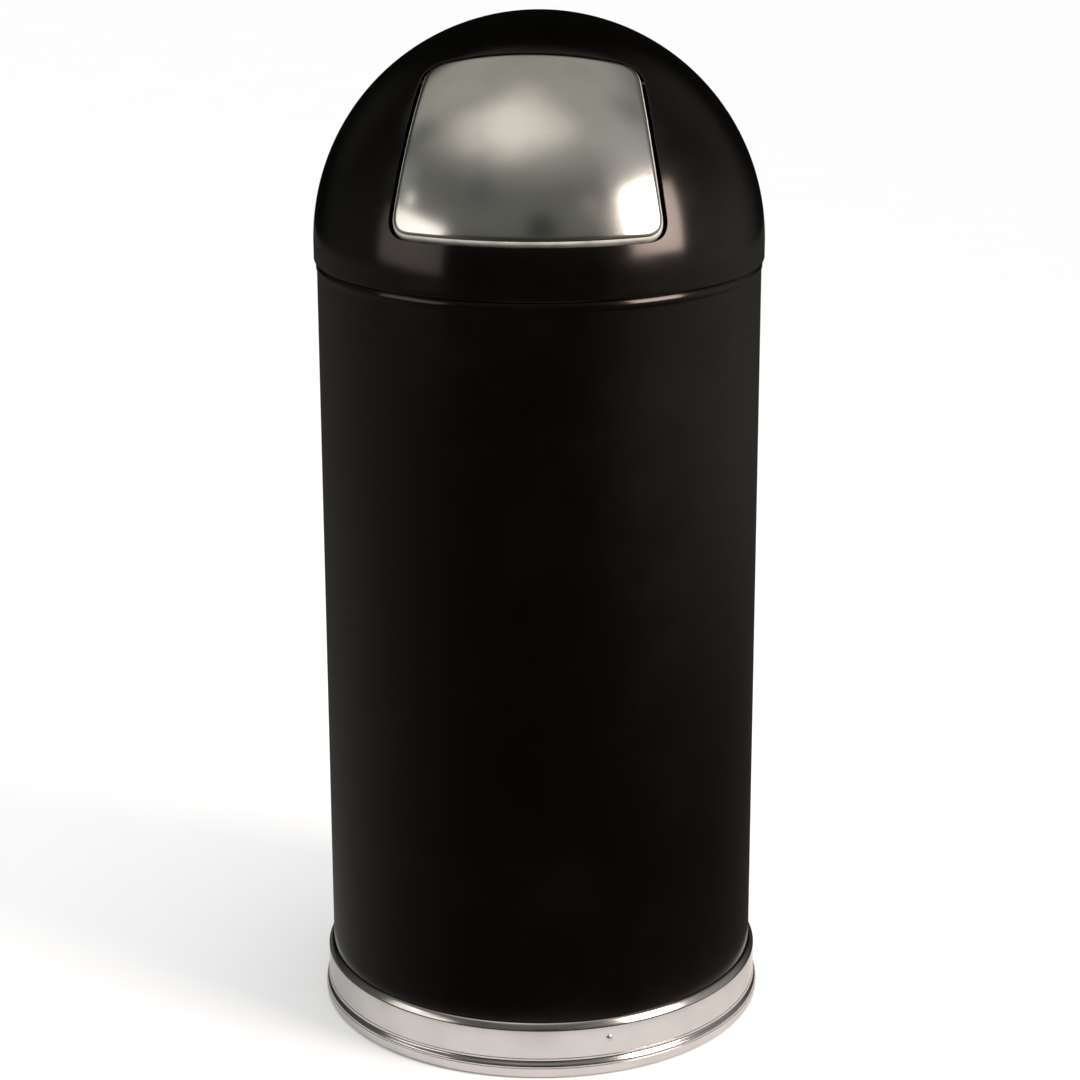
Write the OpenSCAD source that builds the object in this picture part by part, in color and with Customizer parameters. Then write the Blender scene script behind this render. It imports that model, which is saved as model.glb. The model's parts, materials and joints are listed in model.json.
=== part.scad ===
// Dome top waste receptacle: a round steel body on a trim ring, a lift-off dome with a sprung push
// door, and a loose galvanised liner with a bail. Millimetres, +Z up, the door faces -Y, and the
// origin is on the floor at the centre of the base.

/* [Body] */
// Outer diameter of the body
body_d = 381; // [360:1:400]
// Height of the body's rolled rim above the floor
rim_top = 682.3; // [640:0.1:720]
// Thickness of the body and dome sheet
sheet_t = 0.9; // [0.7:0.1:1.2]
// Radius of the rolled bead along the body's rim
bead_r = 3; // [2.4:0.1:3.4]
// How far the rolled bead stands proud of the wall
bead_proud = 0.4; // [0.2:0.1:0.8]
// Height of the floor pan's upper face above the floor
pan_z = 23; // [20:0.5:30]
// Depth of the floor pan's turned-down flange
pan_flange = 13; // [8:0.5:16]
// Radius of the ring pressed into the floor pan
pan_groove_r = 120; // [90:1:140]
// Depth of the ring pressed into the floor pan
pan_groove_depth = 3; // [2:0.5:4]
// Width of the lap where the body sheet is joined at the back
lap_w = 14; // [10:1:20]

/* [Trim ring] */
// Height of the trim ring above the floor
trim_h = 49.9; // [44:0.1:60]
// Thickness of the trim ring's aluminium
trim_t = 0.8; // [0.6:0.1:1]
// How far the flat band stands out from the body
band_out = 4.7; // [4:0.1:6]
// How far the foot of the trim ring stands out from the body
foot_out = 7.7; // [6.8:0.1:9]
// Height of the foot roll
foot_h = 9.2; // [8:0.1:10.5]
// Number of rivets that hold the trim ring
trim_rivets_n = 3; // [3:1:6]
// Height of the trim ring's rivets above the floor
trim_rivet_z = 33.2; // [28:0.1:36]
// Angle of the first rivet from the front, towards +X
trim_rivet_az = 21; // [0:1:60]
// Thickness of the vinyl guard under the foot
guard_t = 0.6; // [0.4:0.1:1]
// Height of the guard's inner leg
guard_h = 7; // [5:0.5:8]

/* [Dome] */
// How far the dome stands out from the body
dome_out = 2.5; // [2.4:0.1:4]
// Height of the straight skirt under the half sphere
skirt_h = 14.6; // [12:0.1:24]
// How far the dome's edge hangs below the top of the rim
edge_drop = 0.9; // [0.6:0.1:1.4]
// Outer radius of the turned-in edge of the skirt
hem_r = 1.6; // [1.3:0.1:2]
// Depth of the locating ring's leg inside the body
seat_drop = 25; // [15:1:30]
// Height of the locating ring's welded leg
seat_rise = 11; // [8:0.5:12]

/* [Push door] */
// Height of the door's lower edge above the dome's springing line
door_low = 34; // [28:1:42]
// Rise of the door's upper edge above its middle, square to the pressing direction
door_up = 83; // [76:1:88]
// Width of the door across its middle
door_w = 197.6; // [185:0.1:205]
// Slope of the door's sides, in degrees
door_taper = 9.6; // [6:0.1:12]
// Elevation of the direction in which the door is pressed and the opening punched, in degrees
door_tilt = 35.7; // [33:0.1:38]
// Radius of the door's lower corners
door_low_r = 18; // [14:1:22]
// Radius of the door's upper corners
door_up_r = 20; // [16:1:24]
// Gap between the door and the sides and lower edge of the opening
door_gap = 4; // [3.5:0.1:5]
// Gap between the door and the upper edge of the opening
door_up_gap = 2; // [1.5:0.1:3]
// How far the door stands proud of the dome
door_proud = 0.5; // [0.2:0.1:1]
// Thickness of the door sheet
door_t = 1; // [0.8:0.1:1.2]
// Depth of the flange turned in around the door
flange_depth = 8; // [6:0.5:9]

/* [Hinge] */
// Radius of the hinge rod
rod_r = 2.5; // [2:0.1:3]
// How far the rod lies behind the door's flange
hinge_back = 5.6; // [4.8:0.1:7]
// How far the rod lies under the door's upper edge
hinge_drop = 9; // [8:0.5:12]
// How far an ear lies inside the door's side, level with the rod
ear_inset = 10.3; // [9:0.1:16]
// Thickness of an ear
ear_t = 1.6; // [1.2:0.1:2]
// Radius of an ear round the rod
ear_r = 5; // [4.4:0.1:5.4]
// Length of an ear's weld along the door
ear_weld = 40; // [30:1:50]
// Gap between a bracket and the side of the opening
bracket_gap = 2.3; // [1.8:0.1:3]
// Thickness of a bracket
bracket_t = 1.6; // [1.2:0.1:2]
// Width of a bracket's foot along the dome
bracket_foot = 12; // [9:0.5:14]
// Length of a bracket's foot, from lower to upper end
bracket_len = 30; // [24:1:34]
// Thickness of a rod clip
clip_t = 0.8; // [0.6:0.1:1]
// Depth of a clip's groove in the rod
clip_groove = 0.4; // [0.3:0.05:0.5]
// Radius of the spring wire
spring_wire_r = 0.8; // [0.6:0.1:0.9]
// Radius of the spring's coils, at the middle of the wire
spring_r = 5; // [4.4:0.1:5.6]
// Number of coils in each spring
spring_turns = 6; // [4:1:6]
// Clear gap between one coil and the next
spring_gap = 0.55; // [0.5:0.05:0.6]

/* [Door stop] */
// How far the middle of a stop tab lies inside the door's side
tab_inset = 38.8; // [32:0.2:48]
// Width of a stop tab
tab_w = 16; // [12:1:20]
// Thickness of a stop tab
tab_t = 1.2; // [1:0.1:1.6]
// How far a stop tab reaches below the door's lower edge
tab_reach = 22; // [20:1:26]
// Radius of a rubber stop
stop_r = 4; // [3:0.25:5]

/* [Liner] */
// Gap between the liner and the inside of the body
liner_gap = 21; // [19:0.1:26]
// Height of the liner's rim above the floor pan
liner_h = 626.9; // [580:0.1:640]
// Thickness of the liner sheet
liner_t = 0.7; // [0.5:0.1:0.8]
// Height of the liner's recessed bottom above its lower edge
liner_recess = 8; // [6:0.5:12]
// Height of the seam fold round the liner's lower edge
liner_fold = 5.5; // [4:0.5:8]
// Radius of the wire in the liner's rim
rim_wire_r = 2.1; // [1.6:0.1:2.3]
// Number of stiffening beads round the liner
liner_beads = 2; // [1:1:4]
// Radius of a stiffening bead
liner_bead_r = 4; // [3:0.5:5]

/* [Bail] */
// Radius of the bail wire
bail_wire_r = 2.2; // [1.8:0.1:2.3]
// Gap between the bail and the liner's rim
bail_gap = 1; // [0.8:0.1:1.1]
// Width of the raised middle of a bail ear
ear_bridge_w = 20; // [16:1:24]
// Width of each foot of a bail ear
ear_foot_w = 13; // [11:0.5:16]
// Height of a bail ear
bail_ear_h = 15; // [13:0.5:18]
// Thickness of a bail ear
bail_ear_t = 1.2; // [1:0.1:1.4]

/* [Fits] */
// Clearance where one piece rests or seats on another
seat_gap = 0.3; // [0.2:0.05:0.4]
// Gap left under a welded foot
weld_gap = 0.05; // [0:0.01:0.1]
// Radial clearance of a pin, rod or shank in its hole
running_gap = 0.06; // [0.03:0.01:0.1]
// Radius of a rivet's shank
rivet_r = 1.6; // [1.4:0.1:1.8]
// Radius of a rivet's head
rivet_head_r = 3; // [2.6:0.1:3.4]
// Height of a rivet's head
rivet_head_h = 1.2; // [0.8:0.1:1.4]

/* [Hidden] */
$fn = 144;

PAINT = [0.06, 0.055, 0.05];
ALUMINIUM = [0.80, 0.79, 0.77];
STAINLESS = [0.62, 0.62, 0.60];
GALVANISED = [0.60, 0.62, 0.63];
ZINC = [0.72, 0.72, 0.70];
RUBBER = [0.10, 0.10, 0.10];
VINYL = [0.55, 0.55, 0.53];

// Distance that a cutter runs past what it cuts
PAST = 5;
// Gaps that a flat rivet head and tail leave on a round wall
rivet_seat = 0.05;
tail_gap = 0.1;

body_r = body_d / 2;
wall_r = body_r - sheet_t;
bead_x = body_r + bead_proud - bead_r;
bead_z = rim_top - bead_r;
bead_in_r = bead_x - bead_r;

spring_z = rim_top - edge_drop + skirt_h;
dome_r = body_r + dome_out;
dome_in_r = dome_r - sheet_t;
edge_z = rim_top - edge_drop;

shell_z = guard_t + trim_t + seat_gap;

door_r = dome_r + door_proud;
door_in_r = door_r - door_t;
flange_r = door_r - flange_depth;

// In the door's own frame x runs across, v up the door and u out along the pressing direction.
hinge_v = door_up - hinge_drop;
hinge_u = sqrt(flange_r ^ 2 - corner_mid()[0] ^ 2 - corner_mid()[1] ^ 2) - hinge_back;
ear_x = side_x(hinge_v, 0) - ear_inset;
bracket_x = side_x(hinge_v - bracket_len / 2, door_gap) + bracket_gap + bracket_t / 2;
tab_x = door_w / 2 - tab_inset;

liner_r = wall_r - liner_gap;
liner_z = pan_z + seat_gap;
liner_top = pan_z + liner_h;
liner_in_r = liner_r - liner_t;
curl_r = rim_wire_r + seat_gap / 3 + liner_t;
curl_x = liner_in_r + curl_r;
curl_z = liner_top - curl_r;

bail_z = liner_top - 2 * curl_r - 2 * seat_gap - bail_ear_h / 2;
bail_r = curl_x + curl_r + bail_gap + bail_wire_r;
bridge_out_r = bail_r - bail_wire_r - seat_gap;
bridge_in_r = bridge_out_r - bail_ear_t;

// ---- Shared shapes ----

// Points on an arc about [x, y] from angle a0 to a1, in n steps
function arc(x, y, r, a0, a1, n) = [for (i = [0:n]) let (a = a0 + (a1 - a0) * i / n) [x + r * cos(a), y + r * sin(a)]];

// Points on a quadratic curve from p to q, pulled towards c
function bend(p, c, q, n) = [for (i = [0:n]) let (s = i / n) (1 - s) ^ 2 * p + 2 * s * (1 - s) * c + s ^ 2 * q];

function unit(a) = a / norm(a);

function left_of(d) = [-d[1], d[0]];

// Offset of a path's corner by distance t to the left, along the mitre of its two sides
function mitre(p, i, t) =
    let (
        last = len(p) - 1,
        into = unit(p[min(i + 1, last)] - p[min(i, last - 1)]),
        from = unit(p[max(i, 1)] - p[max(i - 1, 0)]),
        n = unit(left_of(from) + left_of(into))
    )
    p[i] + n * t / (n * left_of(into));

// A bent sheet of thickness t that lies to the left of the path
module sheet(path, t) {
    last = len(path) - 1;
    polygon(concat(path, [for (i = [last:-1:0]) mitre(path, i, t)]));
}

// A tube wall in profile: inner radius, outer radius, lower and upper end
module wall(r_in, r_out, z_low, z_high) {
    translate([r_in, z_low])
        square([r_out - r_in, z_high - z_low]);
}

module ring_2d(r_out, r_in) {
    difference() {
        circle(r_out);
        circle(r_in);
    }
}

// Puts a shape that stands along +Z at radius r so that it points outwards, at an angle from +X
module radial(az, r, z) {
    rotate([0, 0, az])
        translate([r, 0, z])
            rotate([0, 90, 0])
                children();
}

// A round-head rivet along +Z: the head's seat is at z = 0 and the far face of the grip at -grip
module rivet(grip) {
    tail_r = rivet_r * 1.4;
    tail_h = rivet_r * 0.6;
    dish_r = (rivet_head_r ^ 2 + rivet_head_h ^ 2) / (2 * rivet_head_h);
    intersection() {
        translate([0, 0, rivet_head_h - dish_r])
            sphere(dish_r);
        cylinder(h = rivet_head_h + 1, r = rivet_head_r);
    }
    translate([0, 0, -grip - tail_h])
        cylinder(h = grip + tail_h, r = rivet_r);
    translate([0, 0, -grip - tail_h])
        cylinder(h = tail_h, r = tail_r);
}

module rivet_hole(grip) {
    translate([0, 0, -grip - PAST])
        cylinder(h = grip + 2 * PAST, r = rivet_r + running_gap);
}

// ---- Body ----

// Grip of a trim rivet: from the face of the band to the inside of the body
trim_grip = band_out + sheet_t + rivet_seat + tail_gap;

module trim_rivet_places() {
    for (i = [0:trim_rivets_n - 1])
        radial(trim_rivet_az - 90 + i * 360 / trim_rivets_n, body_r + band_out + rivet_seat, trim_rivet_z)
            children();
}

module body_shell() {
    color(PAINT)
        difference() {
            union() {
                rotate_extrude() {
                    wall(wall_r, body_r, shell_z, bead_z - bead_r / 2);
                    translate([bead_x, bead_z])
                        ring_2d(bead_r, bead_r - sheet_t);
                }
                back_lap();
            }
            seam_line();
            trim_rivet_places()
                rivet_hole(trim_grip);
        }
}

// The sheet's inner layer where its two ends lap at the back
module back_lap() {
    half = asin(lap_w / 2 / wall_r);
    rotate([0, 0, 90 - half])
        rotate_extrude(angle = 2 * half)
            wall(wall_r - sheet_t, wall_r + sheet_t / 2, pan_z + PAST, bead_z - 2 * bead_r);
}

// The fine groove that the outer end of the sheet leaves
module seam_line() {
    groove_w = 0.6;
    translate([lap_w / 2 - groove_w, body_r - sheet_t / 3, trim_h + seat_gap])
        cube([groove_w, PAST, bead_z - 2 * bead_r - trim_h]);
}

module body_floor() {
    groove_w = 3 * pan_groove_depth;
    corner_r = 2 * sheet_t;
    path = concat(
        [[0, pan_z - sheet_t], [pan_groove_r - groove_w, pan_z - sheet_t]],
        [[pan_groove_r - groove_w / 3, pan_z - sheet_t - pan_groove_depth]],
        [[pan_groove_r + groove_w / 3, pan_z - sheet_t - pan_groove_depth]],
        [[pan_groove_r + groove_w, pan_z - sheet_t]],
        arc(wall_r - sheet_t - corner_r, pan_z - sheet_t - corner_r, corner_r, 90, 0, 4),
        [[wall_r - sheet_t, pan_z - pan_flange]]
    );
    color(PAINT)
        rotate_extrude()
            sheet(path, sheet_t);
}

// The trim ring's inner face, from its lower lip up to its upper one: the metal lies outside it.
function trim_path() =
    let (
        t = trim_t,
        x = body_r,
        foot = x + foot_out - t,
        band = x + band_out - t,
        z0 = guard_t,
        roll = foot_h / 2,
        roll_turn = 72
    )
    concat(
        [[x - sheet_t, z0 + t], [foot - 0.8 * roll, z0 + t]],
        arc(foot - 0.8 * roll, z0 + t + 0.8 * roll, 0.8 * roll, -roll_turn, roll_turn, 8),
        [[band + 0.2, foot_h + 0.3]],
        arc(band + 0.3, foot_h + 2.5, 1, -50, 50, 4),
        [[band - 0.5, foot_h + 6], [band, foot_h + 7.6]],
        [[band, trim_h - 9], [band - 0.3, trim_h - 6.9]],
        [[x + 0.6, trim_h - 1.6], [x + seat_gap / 3, trim_h - 0.6], [x + seat_gap / 3, trim_h]]
    );

module base_trim_ring() {
    color(ALUMINIUM)
        difference() {
            rotate_extrude()
                sheet(trim_path(), -trim_t);
            trim_rivet_places()
                rivet_hole(trim_grip);
        }
}

module trim_rivets() {
    color(ALUMINIUM)
        trim_rivet_places()
            rivet(trim_grip);
}

module floor_guard() {
    color(VINYL)
        rotate_extrude() {
            wall(wall_r - 1.5, body_r + foot_out / 2, 0, guard_t);
            wall(wall_r - 1.5, wall_r - 0.4, 0, guard_h);
        }
}

// ---- Dome ----

module at_dome() {
    translate([0, 0, spring_z])
        children();
}

// The door's frame: x across, y up the door and z out along the pressing direction
module door_frame() {
    at_dome()
        rotate([90 - door_tilt, 0, 0])
            children();
}

// Height in the door's frame of a level edge on the sphere at height z, at x from the middle
function level_v(x, z) = z * cos(door_tilt) - sin(door_tilt) * sqrt(door_r ^ 2 - z ^ 2 - x ^ 2);

function level_slope(x, z) = sin(door_tilt) * x / sqrt(door_r ^ 2 - z ^ 2 - x ^ 2);

// Half the door's width at height v, grown by g all round
function side_x(v, g) = door_w / 2 + g / cos(door_taper) - v * tan(door_taper);

// Where the side meets the lower edge, found by stepping from one to the other
function low_corner_x(z, g, steps) =
    steps == 0 ? door_w / 2 : side_x(level_v(low_corner_x(z, g, steps - 1), z), g);

// Right half of the door's outline, grown by g at the sides and foot and by g_up at the top
function half_outline(g, g_up) =
    let (
        z = door_low - g,
        v_up = door_up + g_up,
        up_side = [-sin(door_taper), cos(door_taper)],
        x_corner = low_corner_x(z, g, 8),
        low_turn = 90 + atan(level_slope(x_corner, z)) - door_taper,
        low_len = (door_low_r + g) / tan(low_turn / 2),
        x0 = x_corner - low_len,
        m = level_slope(x0, z),
        k = tan(door_taper),
        p0 = [x0, level_v(x0, z)],
        cx = (side_x(0, g) - k * p0[1] + k * m * x0) / (1 + k * m),
        c0 = [cx, p0[1] + m * (cx - x0)],
        up_len = (door_up_r + g) / tan((90 + door_taper) / 2),
        c1 = [side_x(v_up, g), v_up],
        n = 8
    )
    concat(
        [for (i = [0:n - 1]) [x0 * i / n, level_v(x0 * i / n, z)]],
        bend(p0, c0, c0 + low_len * up_side, n),
        bend(c1 - up_len * up_side, c1, c1 - [up_len, 0], n)
    );

function outline(g, g_up) =
    let (right = half_outline(g, g_up))
    concat(right, [for (i = [len(right) - 1:-1:1]) [-right[i][0], right[i][1]]]);

// The middle of the door's rounded upper corner
function corner_mid() =
    let (
        up_len = door_up_r / tan((90 + door_taper) / 2),
        c = [side_x(door_up, 0), door_up]
    )
    bend(c - up_len * [-sin(door_taper), cos(door_taper)], c, c - [up_len, 0], 2)[1];

// A straight-sided block along the pressing direction with the door's outline
module door_block(g, g_up) {
    door_frame()
        linear_extrude(door_r + PAST)
            polygon(outline(g, g_up));
}

// A plate square to x, drawn in v and u, centred on x
module across(x, t) {
    translate([x - t / 2, 0, 0])
        rotate([90, 0, 90])
            linear_extrude(t)
                children();
}

module dome_shell() {
    color(PAINT)
        difference() {
            at_dome()
                rotate_extrude()
                    dome_profile();
            door_block(door_gap, door_up_gap);
        }
}

module dome_profile() {
    low = -skirt_h;
    intersection() {
        ring_2d(dome_r, dome_in_r);
        square(dome_r + PAST);
    }
    wall(dome_in_r, dome_r, low + hem_r, 0);
    translate([dome_r - hem_r, low + hem_r])
        intersection() {
            ring_2d(hem_r, hem_r - sheet_t);
            translate([0, -hem_r])
                square(hem_r);
        }
    wall(body_r + bead_proud + seat_gap, dome_r - hem_r, low, low + sheet_t);
}

module dome_seat_ring() {
    shelf_z = rim_top + seat_gap;
    leg_out_r = dome_in_r - weld_gap;
    bevel = 0.75 * hem_r;
    drop_out_r = bead_in_r - seat_gap;
    path = concat(
        [[leg_out_r, shelf_z + seat_rise], [leg_out_r, shelf_z + bevel], [leg_out_r - bevel, shelf_z]],
        [[drop_out_r, shelf_z], [drop_out_r, rim_top - seat_drop]],
        [[drop_out_r - 2, rim_top - seat_drop - 2]]
    );
    color(PAINT)
        rotate_extrude()
            sheet(path, -sheet_t);
}

// ---- Hinge ----

module on_hinge() {
    translate([0, hinge_v, hinge_u])
        children();
}

module rod_bore(r) {
    rotate([0, 90, 0])
        cylinder(h = 2 * dome_r, r = r, center = true);
}

// Side is 1 on +X and -1 on -X.
module hinge_bracket(side) {
    x = side * bracket_x;
    half = bracket_len / 2;
    reach = 11;
    color(ZINC)
        intersection() {
            at_dome()
                sphere(dome_in_r - weld_gap);
            union() {
                difference() {
                    door_frame()
                        across(x, bracket_t)
                            bracket_side(half, reach);
                    door_frame()
                        on_hinge()
                            rod_bore(rod_r + running_gap);
                }
                difference() {
                    door_frame()
                        translate([x - bracket_t / 2 - (side < 0 ? bracket_foot : 0), hinge_v - half, 0])
                            cube([bracket_foot + bracket_t, bracket_len, dome_r]);
                    at_dome()
                        sphere(dome_in_r - bracket_t);
                }
            }
        }
}

// The bracket's side: an eye round the rod that widens towards the dome
module bracket_side(half, reach) {
    translate([hinge_v, hinge_u])
        circle(ear_r + 0.5);
    polygon([
        [hinge_v - ear_r - 0.5, hinge_u],
        [hinge_v - half, hinge_u + reach],
        [hinge_v - half, dome_r],
        [hinge_v + half, dome_r],
        [hinge_v + half, hinge_u - reach],
        [hinge_v + ear_r + 0.5, hinge_u],
    ]);
}

module hinge_bracket_left() {
    hinge_bracket(-1);
}

module hinge_bracket_right() {
    hinge_bracket(1);
}

// Half the rod's length: it ends just inside the feet of the brackets
rod_half = sqrt((dome_in_r - bracket_t) ^ 2 - (norm([hinge_u, hinge_v]) + rod_r) ^ 2) - 2 * seat_gap;
clip_x = bracket_x - bracket_t / 2 - seat_gap - clip_t / 2;

module hinge_rod() {
    color(ZINC)
        door_frame()
            on_hinge()
                difference() {
                    rotate([0, 90, 0])
                        cylinder(h = 2 * rod_half, r = rod_r, center = true);
                    for (side = [-1, 1])
                        translate([side * clip_x, 0, 0])
                            rotate([0, 90, 0])
                                difference() {
                                    cylinder(h = clip_t + seat_gap, r = rod_r + 1, center = true);
                                    cylinder(h = clip_t + 1, r = rod_r - clip_groove, center = true);
                                }
                }
}

module rod_clips() {
    color(ZINC)
        door_frame()
            on_hinge()
                for (side = [-1, 1])
                    translate([side * clip_x, 0, 0])
                        rotate([0, 90, 0])
                            rod_clip();
}

// An open retaining clip: three teeth in the groove, and a mouth to push it on
module rod_clip() {
    mouth = 1.5 * (rod_r - clip_groove);
    linear_extrude(clip_t, center = true)
        difference() {
            circle(rod_r + 2);
            circle(rod_r - clip_groove + running_gap);
            translate([0, -mouth / 2])
                square([rod_r + PAST, mouth]);
        }
}

// ---- Springs ----

SPRING_SIDES = 6;
SPRING_RINGS = 8;
spring_pitch = 2 * spring_wire_r + spring_gap;
spring_x0 = ear_x - ear_t / 2 - spring_wire_r - spring_gap - spring_turns * spring_pitch;

// Angles about the rod at which the wire leaves the coils for the door and for the dome
to_door_a = -137;
to_dome_a = -67;
spring_sweep = spring_turns * 360 + to_dome_a - to_door_a;

// Distance along a leg from p in direction d, in v and u, to the sphere of radius r, at x
function leg_reach(p, d, x, r) =
    let (b = p * d, c = p * p + x ^ 2 - r ^ 2)
    -b + sqrt(b ^ 2 - c);

function coil_point(a, x) = [x, hinge_v + spring_r * cos(a), hinge_u + spring_r * sin(a)];

function spring_path() =
    let (
        steps = ceil(spring_sweep / 360 * SPRING_RINGS),
        x1 = spring_x0 + spring_sweep / 360 * spring_pitch,
        coil = [
            for (i = [0:steps])
                coil_point(to_door_a + spring_sweep * i / steps, spring_x0 + (x1 - spring_x0) * i / steps)
        ],
        door_dir = [sin(to_door_a), -cos(to_door_a)],
        dome_dir = [-sin(to_dome_a), cos(to_dome_a)],
        first = coil[0],
        last = coil[steps],
        rest = spring_wire_r + seat_gap,
        door_len = leg_reach([first[1], first[2]], door_dir, first[0], door_in_r - rest),
        dome_len = leg_reach([last[1], last[2]], dome_dir, last[0], dome_in_r - rest)
    )
    concat(
        [first + door_len * [0, door_dir[0], door_dir[1]], first + 2 * spring_wire_r * [0, door_dir[0], door_dir[1]]],
        coil,
        [last + 2 * spring_wire_r * [0, dome_dir[0], dome_dir[1]], last + dome_len * [0, dome_dir[0], dome_dir[1]]]
    );

// A closed tube of radius r along a path that never runs along X
module wire(path, r) {
    last = len(path) - 1;
    s = SPRING_SIDES;
    rings = [
        for (i = [0:last])
            let (
                t = unit(path[min(i + 1, last)] - path[max(i - 1, 0)]),
                a = unit([1, 0, 0] - t[0] * t),
                b = cross(t, a)
            )
            for (j = [0:s - 1])
                path[i] + r * (cos(360 * j / s) * a + sin(360 * j / s) * b)
    ];
    sides = [
        for (i = [0:last - 1], j = [0:s - 1])
            let (k = (j + 1) % s)
            each [
                [i * s + j, (i + 1) * s + j, i * s + k],
                [i * s + k, (i + 1) * s + j, (i + 1) * s + k],
            ]
    ];
    first_end = [for (j = [1:s - 2]) [0, j, j + 1]];
    last_end = [for (j = [1:s - 2]) [last * s, last * s + j + 1, last * s + j]];
    polyhedron(points = rings, faces = concat(sides, first_end, last_end));
}

// Least clear distance between points of a path that are at least half a coil apart along it
function least_self_gap(path, r) =
    let (apart = SPRING_RINGS / 2)
    min([
        for (i = [0:len(path) - 1 - apart], j = [i + apart:len(path) - 1])
            norm(path[i] - path[j])
    ]) - 2 * r;

module torsion_spring(side) {
    path = spring_path();
    echo(least_self_gap = least_self_gap(path, spring_wire_r));
    color(STAINLESS)
        door_frame()
            mirror([side < 0 ? 1 : 0, 0, 0])
                wire(path, spring_wire_r);
}

module torsion_spring_left() {
    torsion_spring(-1);
}

module torsion_spring_right() {
    torsion_spring(1);
}

// ---- Push door ----

module door_panel() {
    color(STAINLESS)
        difference() {
            intersection() {
                at_dome()
                    sphere(door_r);
                door_block(0, 0);
            }
            intersection() {
                at_dome()
                    sphere(door_in_r);
                door_block(-door_t, -door_t);
            }
            at_dome()
                sphere(flange_r);
        }
}

module door_ear(side) {
    x = side * ear_x;
    color(ZINC)
        difference() {
            intersection() {
                at_dome()
                    sphere(door_in_r - weld_gap);
                door_frame() {
                    across(x, ear_t)
                        ear_arm();
                    across(x, ear_t)
                        translate([hinge_v, hinge_u])
                            circle(ear_r);
                }
            }
            door_frame()
                on_hinge()
                    rod_bore(rod_r + running_gap);
        }
}

// The ear's arm, which widens from the eye round the rod to its weld along the door
module ear_arm() {
    eye = [hinge_v, hinge_u];
    arm_r = 0.92 * ear_r;
    weld_up_v = hinge_v - 14;
    weld_low_v = weld_up_v - ear_weld;
    surface_u = sqrt(door_in_r ^ 2 - ear_x ^ 2 - weld_low_v ^ 2);
    low = [weld_low_v, surface_u - 9];
    up = [weld_up_v, door_r];
    to_low = unit(low - eye);
    to_up = unit([weld_up_v, sqrt(door_in_r ^ 2 - ear_x ^ 2 - weld_up_v ^ 2)] - eye);
    polygon([
        eye + arm_r * left_of(to_low),
        low,
        [weld_low_v, door_r],
        up - arm_r * left_of(to_up),
        eye - arm_r * left_of(to_up),
    ]);
}

module door_ear_left() {
    door_ear(-1);
}

module door_ear_right() {
    door_ear(1);
}

stop_z = door_low - tab_reach + stop_r + 2;
stop_dir_az = -acos(tab_x / (flange_r * cos(stop_el())));

function stop_el() = asin(stop_z / flange_r);

module door_stop_tabs() {
    color(STAINLESS)
        intersection() {
            at_dome()
                difference() {
                    sphere(flange_r - weld_gap);
                    sphere(flange_r - tab_t);
                }
            at_dome()
                for (side = [-1, 1])
                    translate([side * tab_x - tab_w / 2, -dome_r, door_low - tab_reach])
                        cube([tab_w, dome_r, tab_reach + 2]);
        }
}

module door_stop_bumpers() {
    color(RUBBER)
        at_dome()
            for (side = [0, 1])
                mirror([side, 0, 0])
                    intersection() {
                        rotate([0, 0, stop_dir_az])
                            rotate([0, 90 - stop_el(), 0])
                                cylinder(h = dome_r, r = stop_r);
                        difference() {
                            sphere(dome_in_r - seat_gap);
                            sphere(flange_r);
                        }
                    }
}

// ---- Liner ----

// The liner's inner face from its lower edge to its curl, with its stiffening beads
function liner_path() =
    let (
        z0 = liner_z + liner_t,
        step = (liner_h - liner_recess) / (liner_beads + 1),
        r = liner_bead_r - liner_t,
        bead_turn = 60
    )
    concat(
        [[liner_in_r, z0]],
        [
            for (i = [1:liner_beads])
                each arc(liner_in_r - r / 2, liner_z + liner_recess + i * step, r, -bead_turn, bead_turn, 6)
        ],
        [[liner_in_r, curl_z - 0.3 * curl_r]]
    );

module liner_wall() {
    color(GALVANISED)
        difference() {
            union() {
                rotate_extrude()
                    sheet(liner_path(), -liner_t);
                rotate_extrude()
                    translate([curl_x, curl_z])
                        ring_2d(curl_r, curl_r - liner_t);
            }
            bail_rivet_places()
                rivet_hole(bail_grip);
        }
}

module liner_bottom() {
    t = liner_t;
    z = liner_z + liner_recess;
    fold_r = 3 * t;
    path = concat(
        [[0, z]],
        arc(liner_in_r - t - fold_r, z - fold_r, fold_r, 90, 0, 4),
        [[liner_in_r - t, liner_z], [liner_r + t, liner_z], [liner_r + t, liner_z + liner_fold]]
    );
    color(GALVANISED)
        rotate_extrude()
            sheet(path, t);
}

module liner_rim_wire() {
    color(ZINC)
        rotate_extrude()
            translate([curl_x, curl_z])
                circle(rim_wire_r);
}

// ---- Bail ----

bail_grip = bail_ear_t + liner_t + rivet_seat + tail_gap;
bail_rivet_y = ear_bridge_w / 2 + ear_foot_w / 2;

module bail_rivet_places() {
    for (side = [0, 180], turn = [-1, 1])
        radial(
            side + turn * asin(bail_rivet_y / liner_r),
            liner_r + bail_ear_t + rivet_seat,
            bail_z
        )
            children();
}

module bail_ear(side) {
    half = ear_bridge_w / 2;
    low = bail_z - bail_ear_h / 2;
    color(ZINC)
        difference() {
            rotate([0, 0, side])
                union() {
                    ear_part(bridge_in_r, bridge_out_r, -half, half, low);
                    for (y = [-half, half - bail_ear_t])
                        ear_part(liner_r, bridge_out_r, y, y + bail_ear_t, low);
                    ear_part(liner_r, liner_r + bail_ear_t, half - bail_ear_t, half + ear_foot_w, low);
                    ear_part(liner_r, liner_r + bail_ear_t, -half - ear_foot_w, -half + bail_ear_t, low);
                }
            translate([0, 0, bail_z])
                rotate([0, 90, 0])
                    cylinder(h = 2 * body_r, r = bail_wire_r + running_gap, center = true);
            bail_rivet_places()
                rivet_hole(bail_grip);
        }
}

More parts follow.
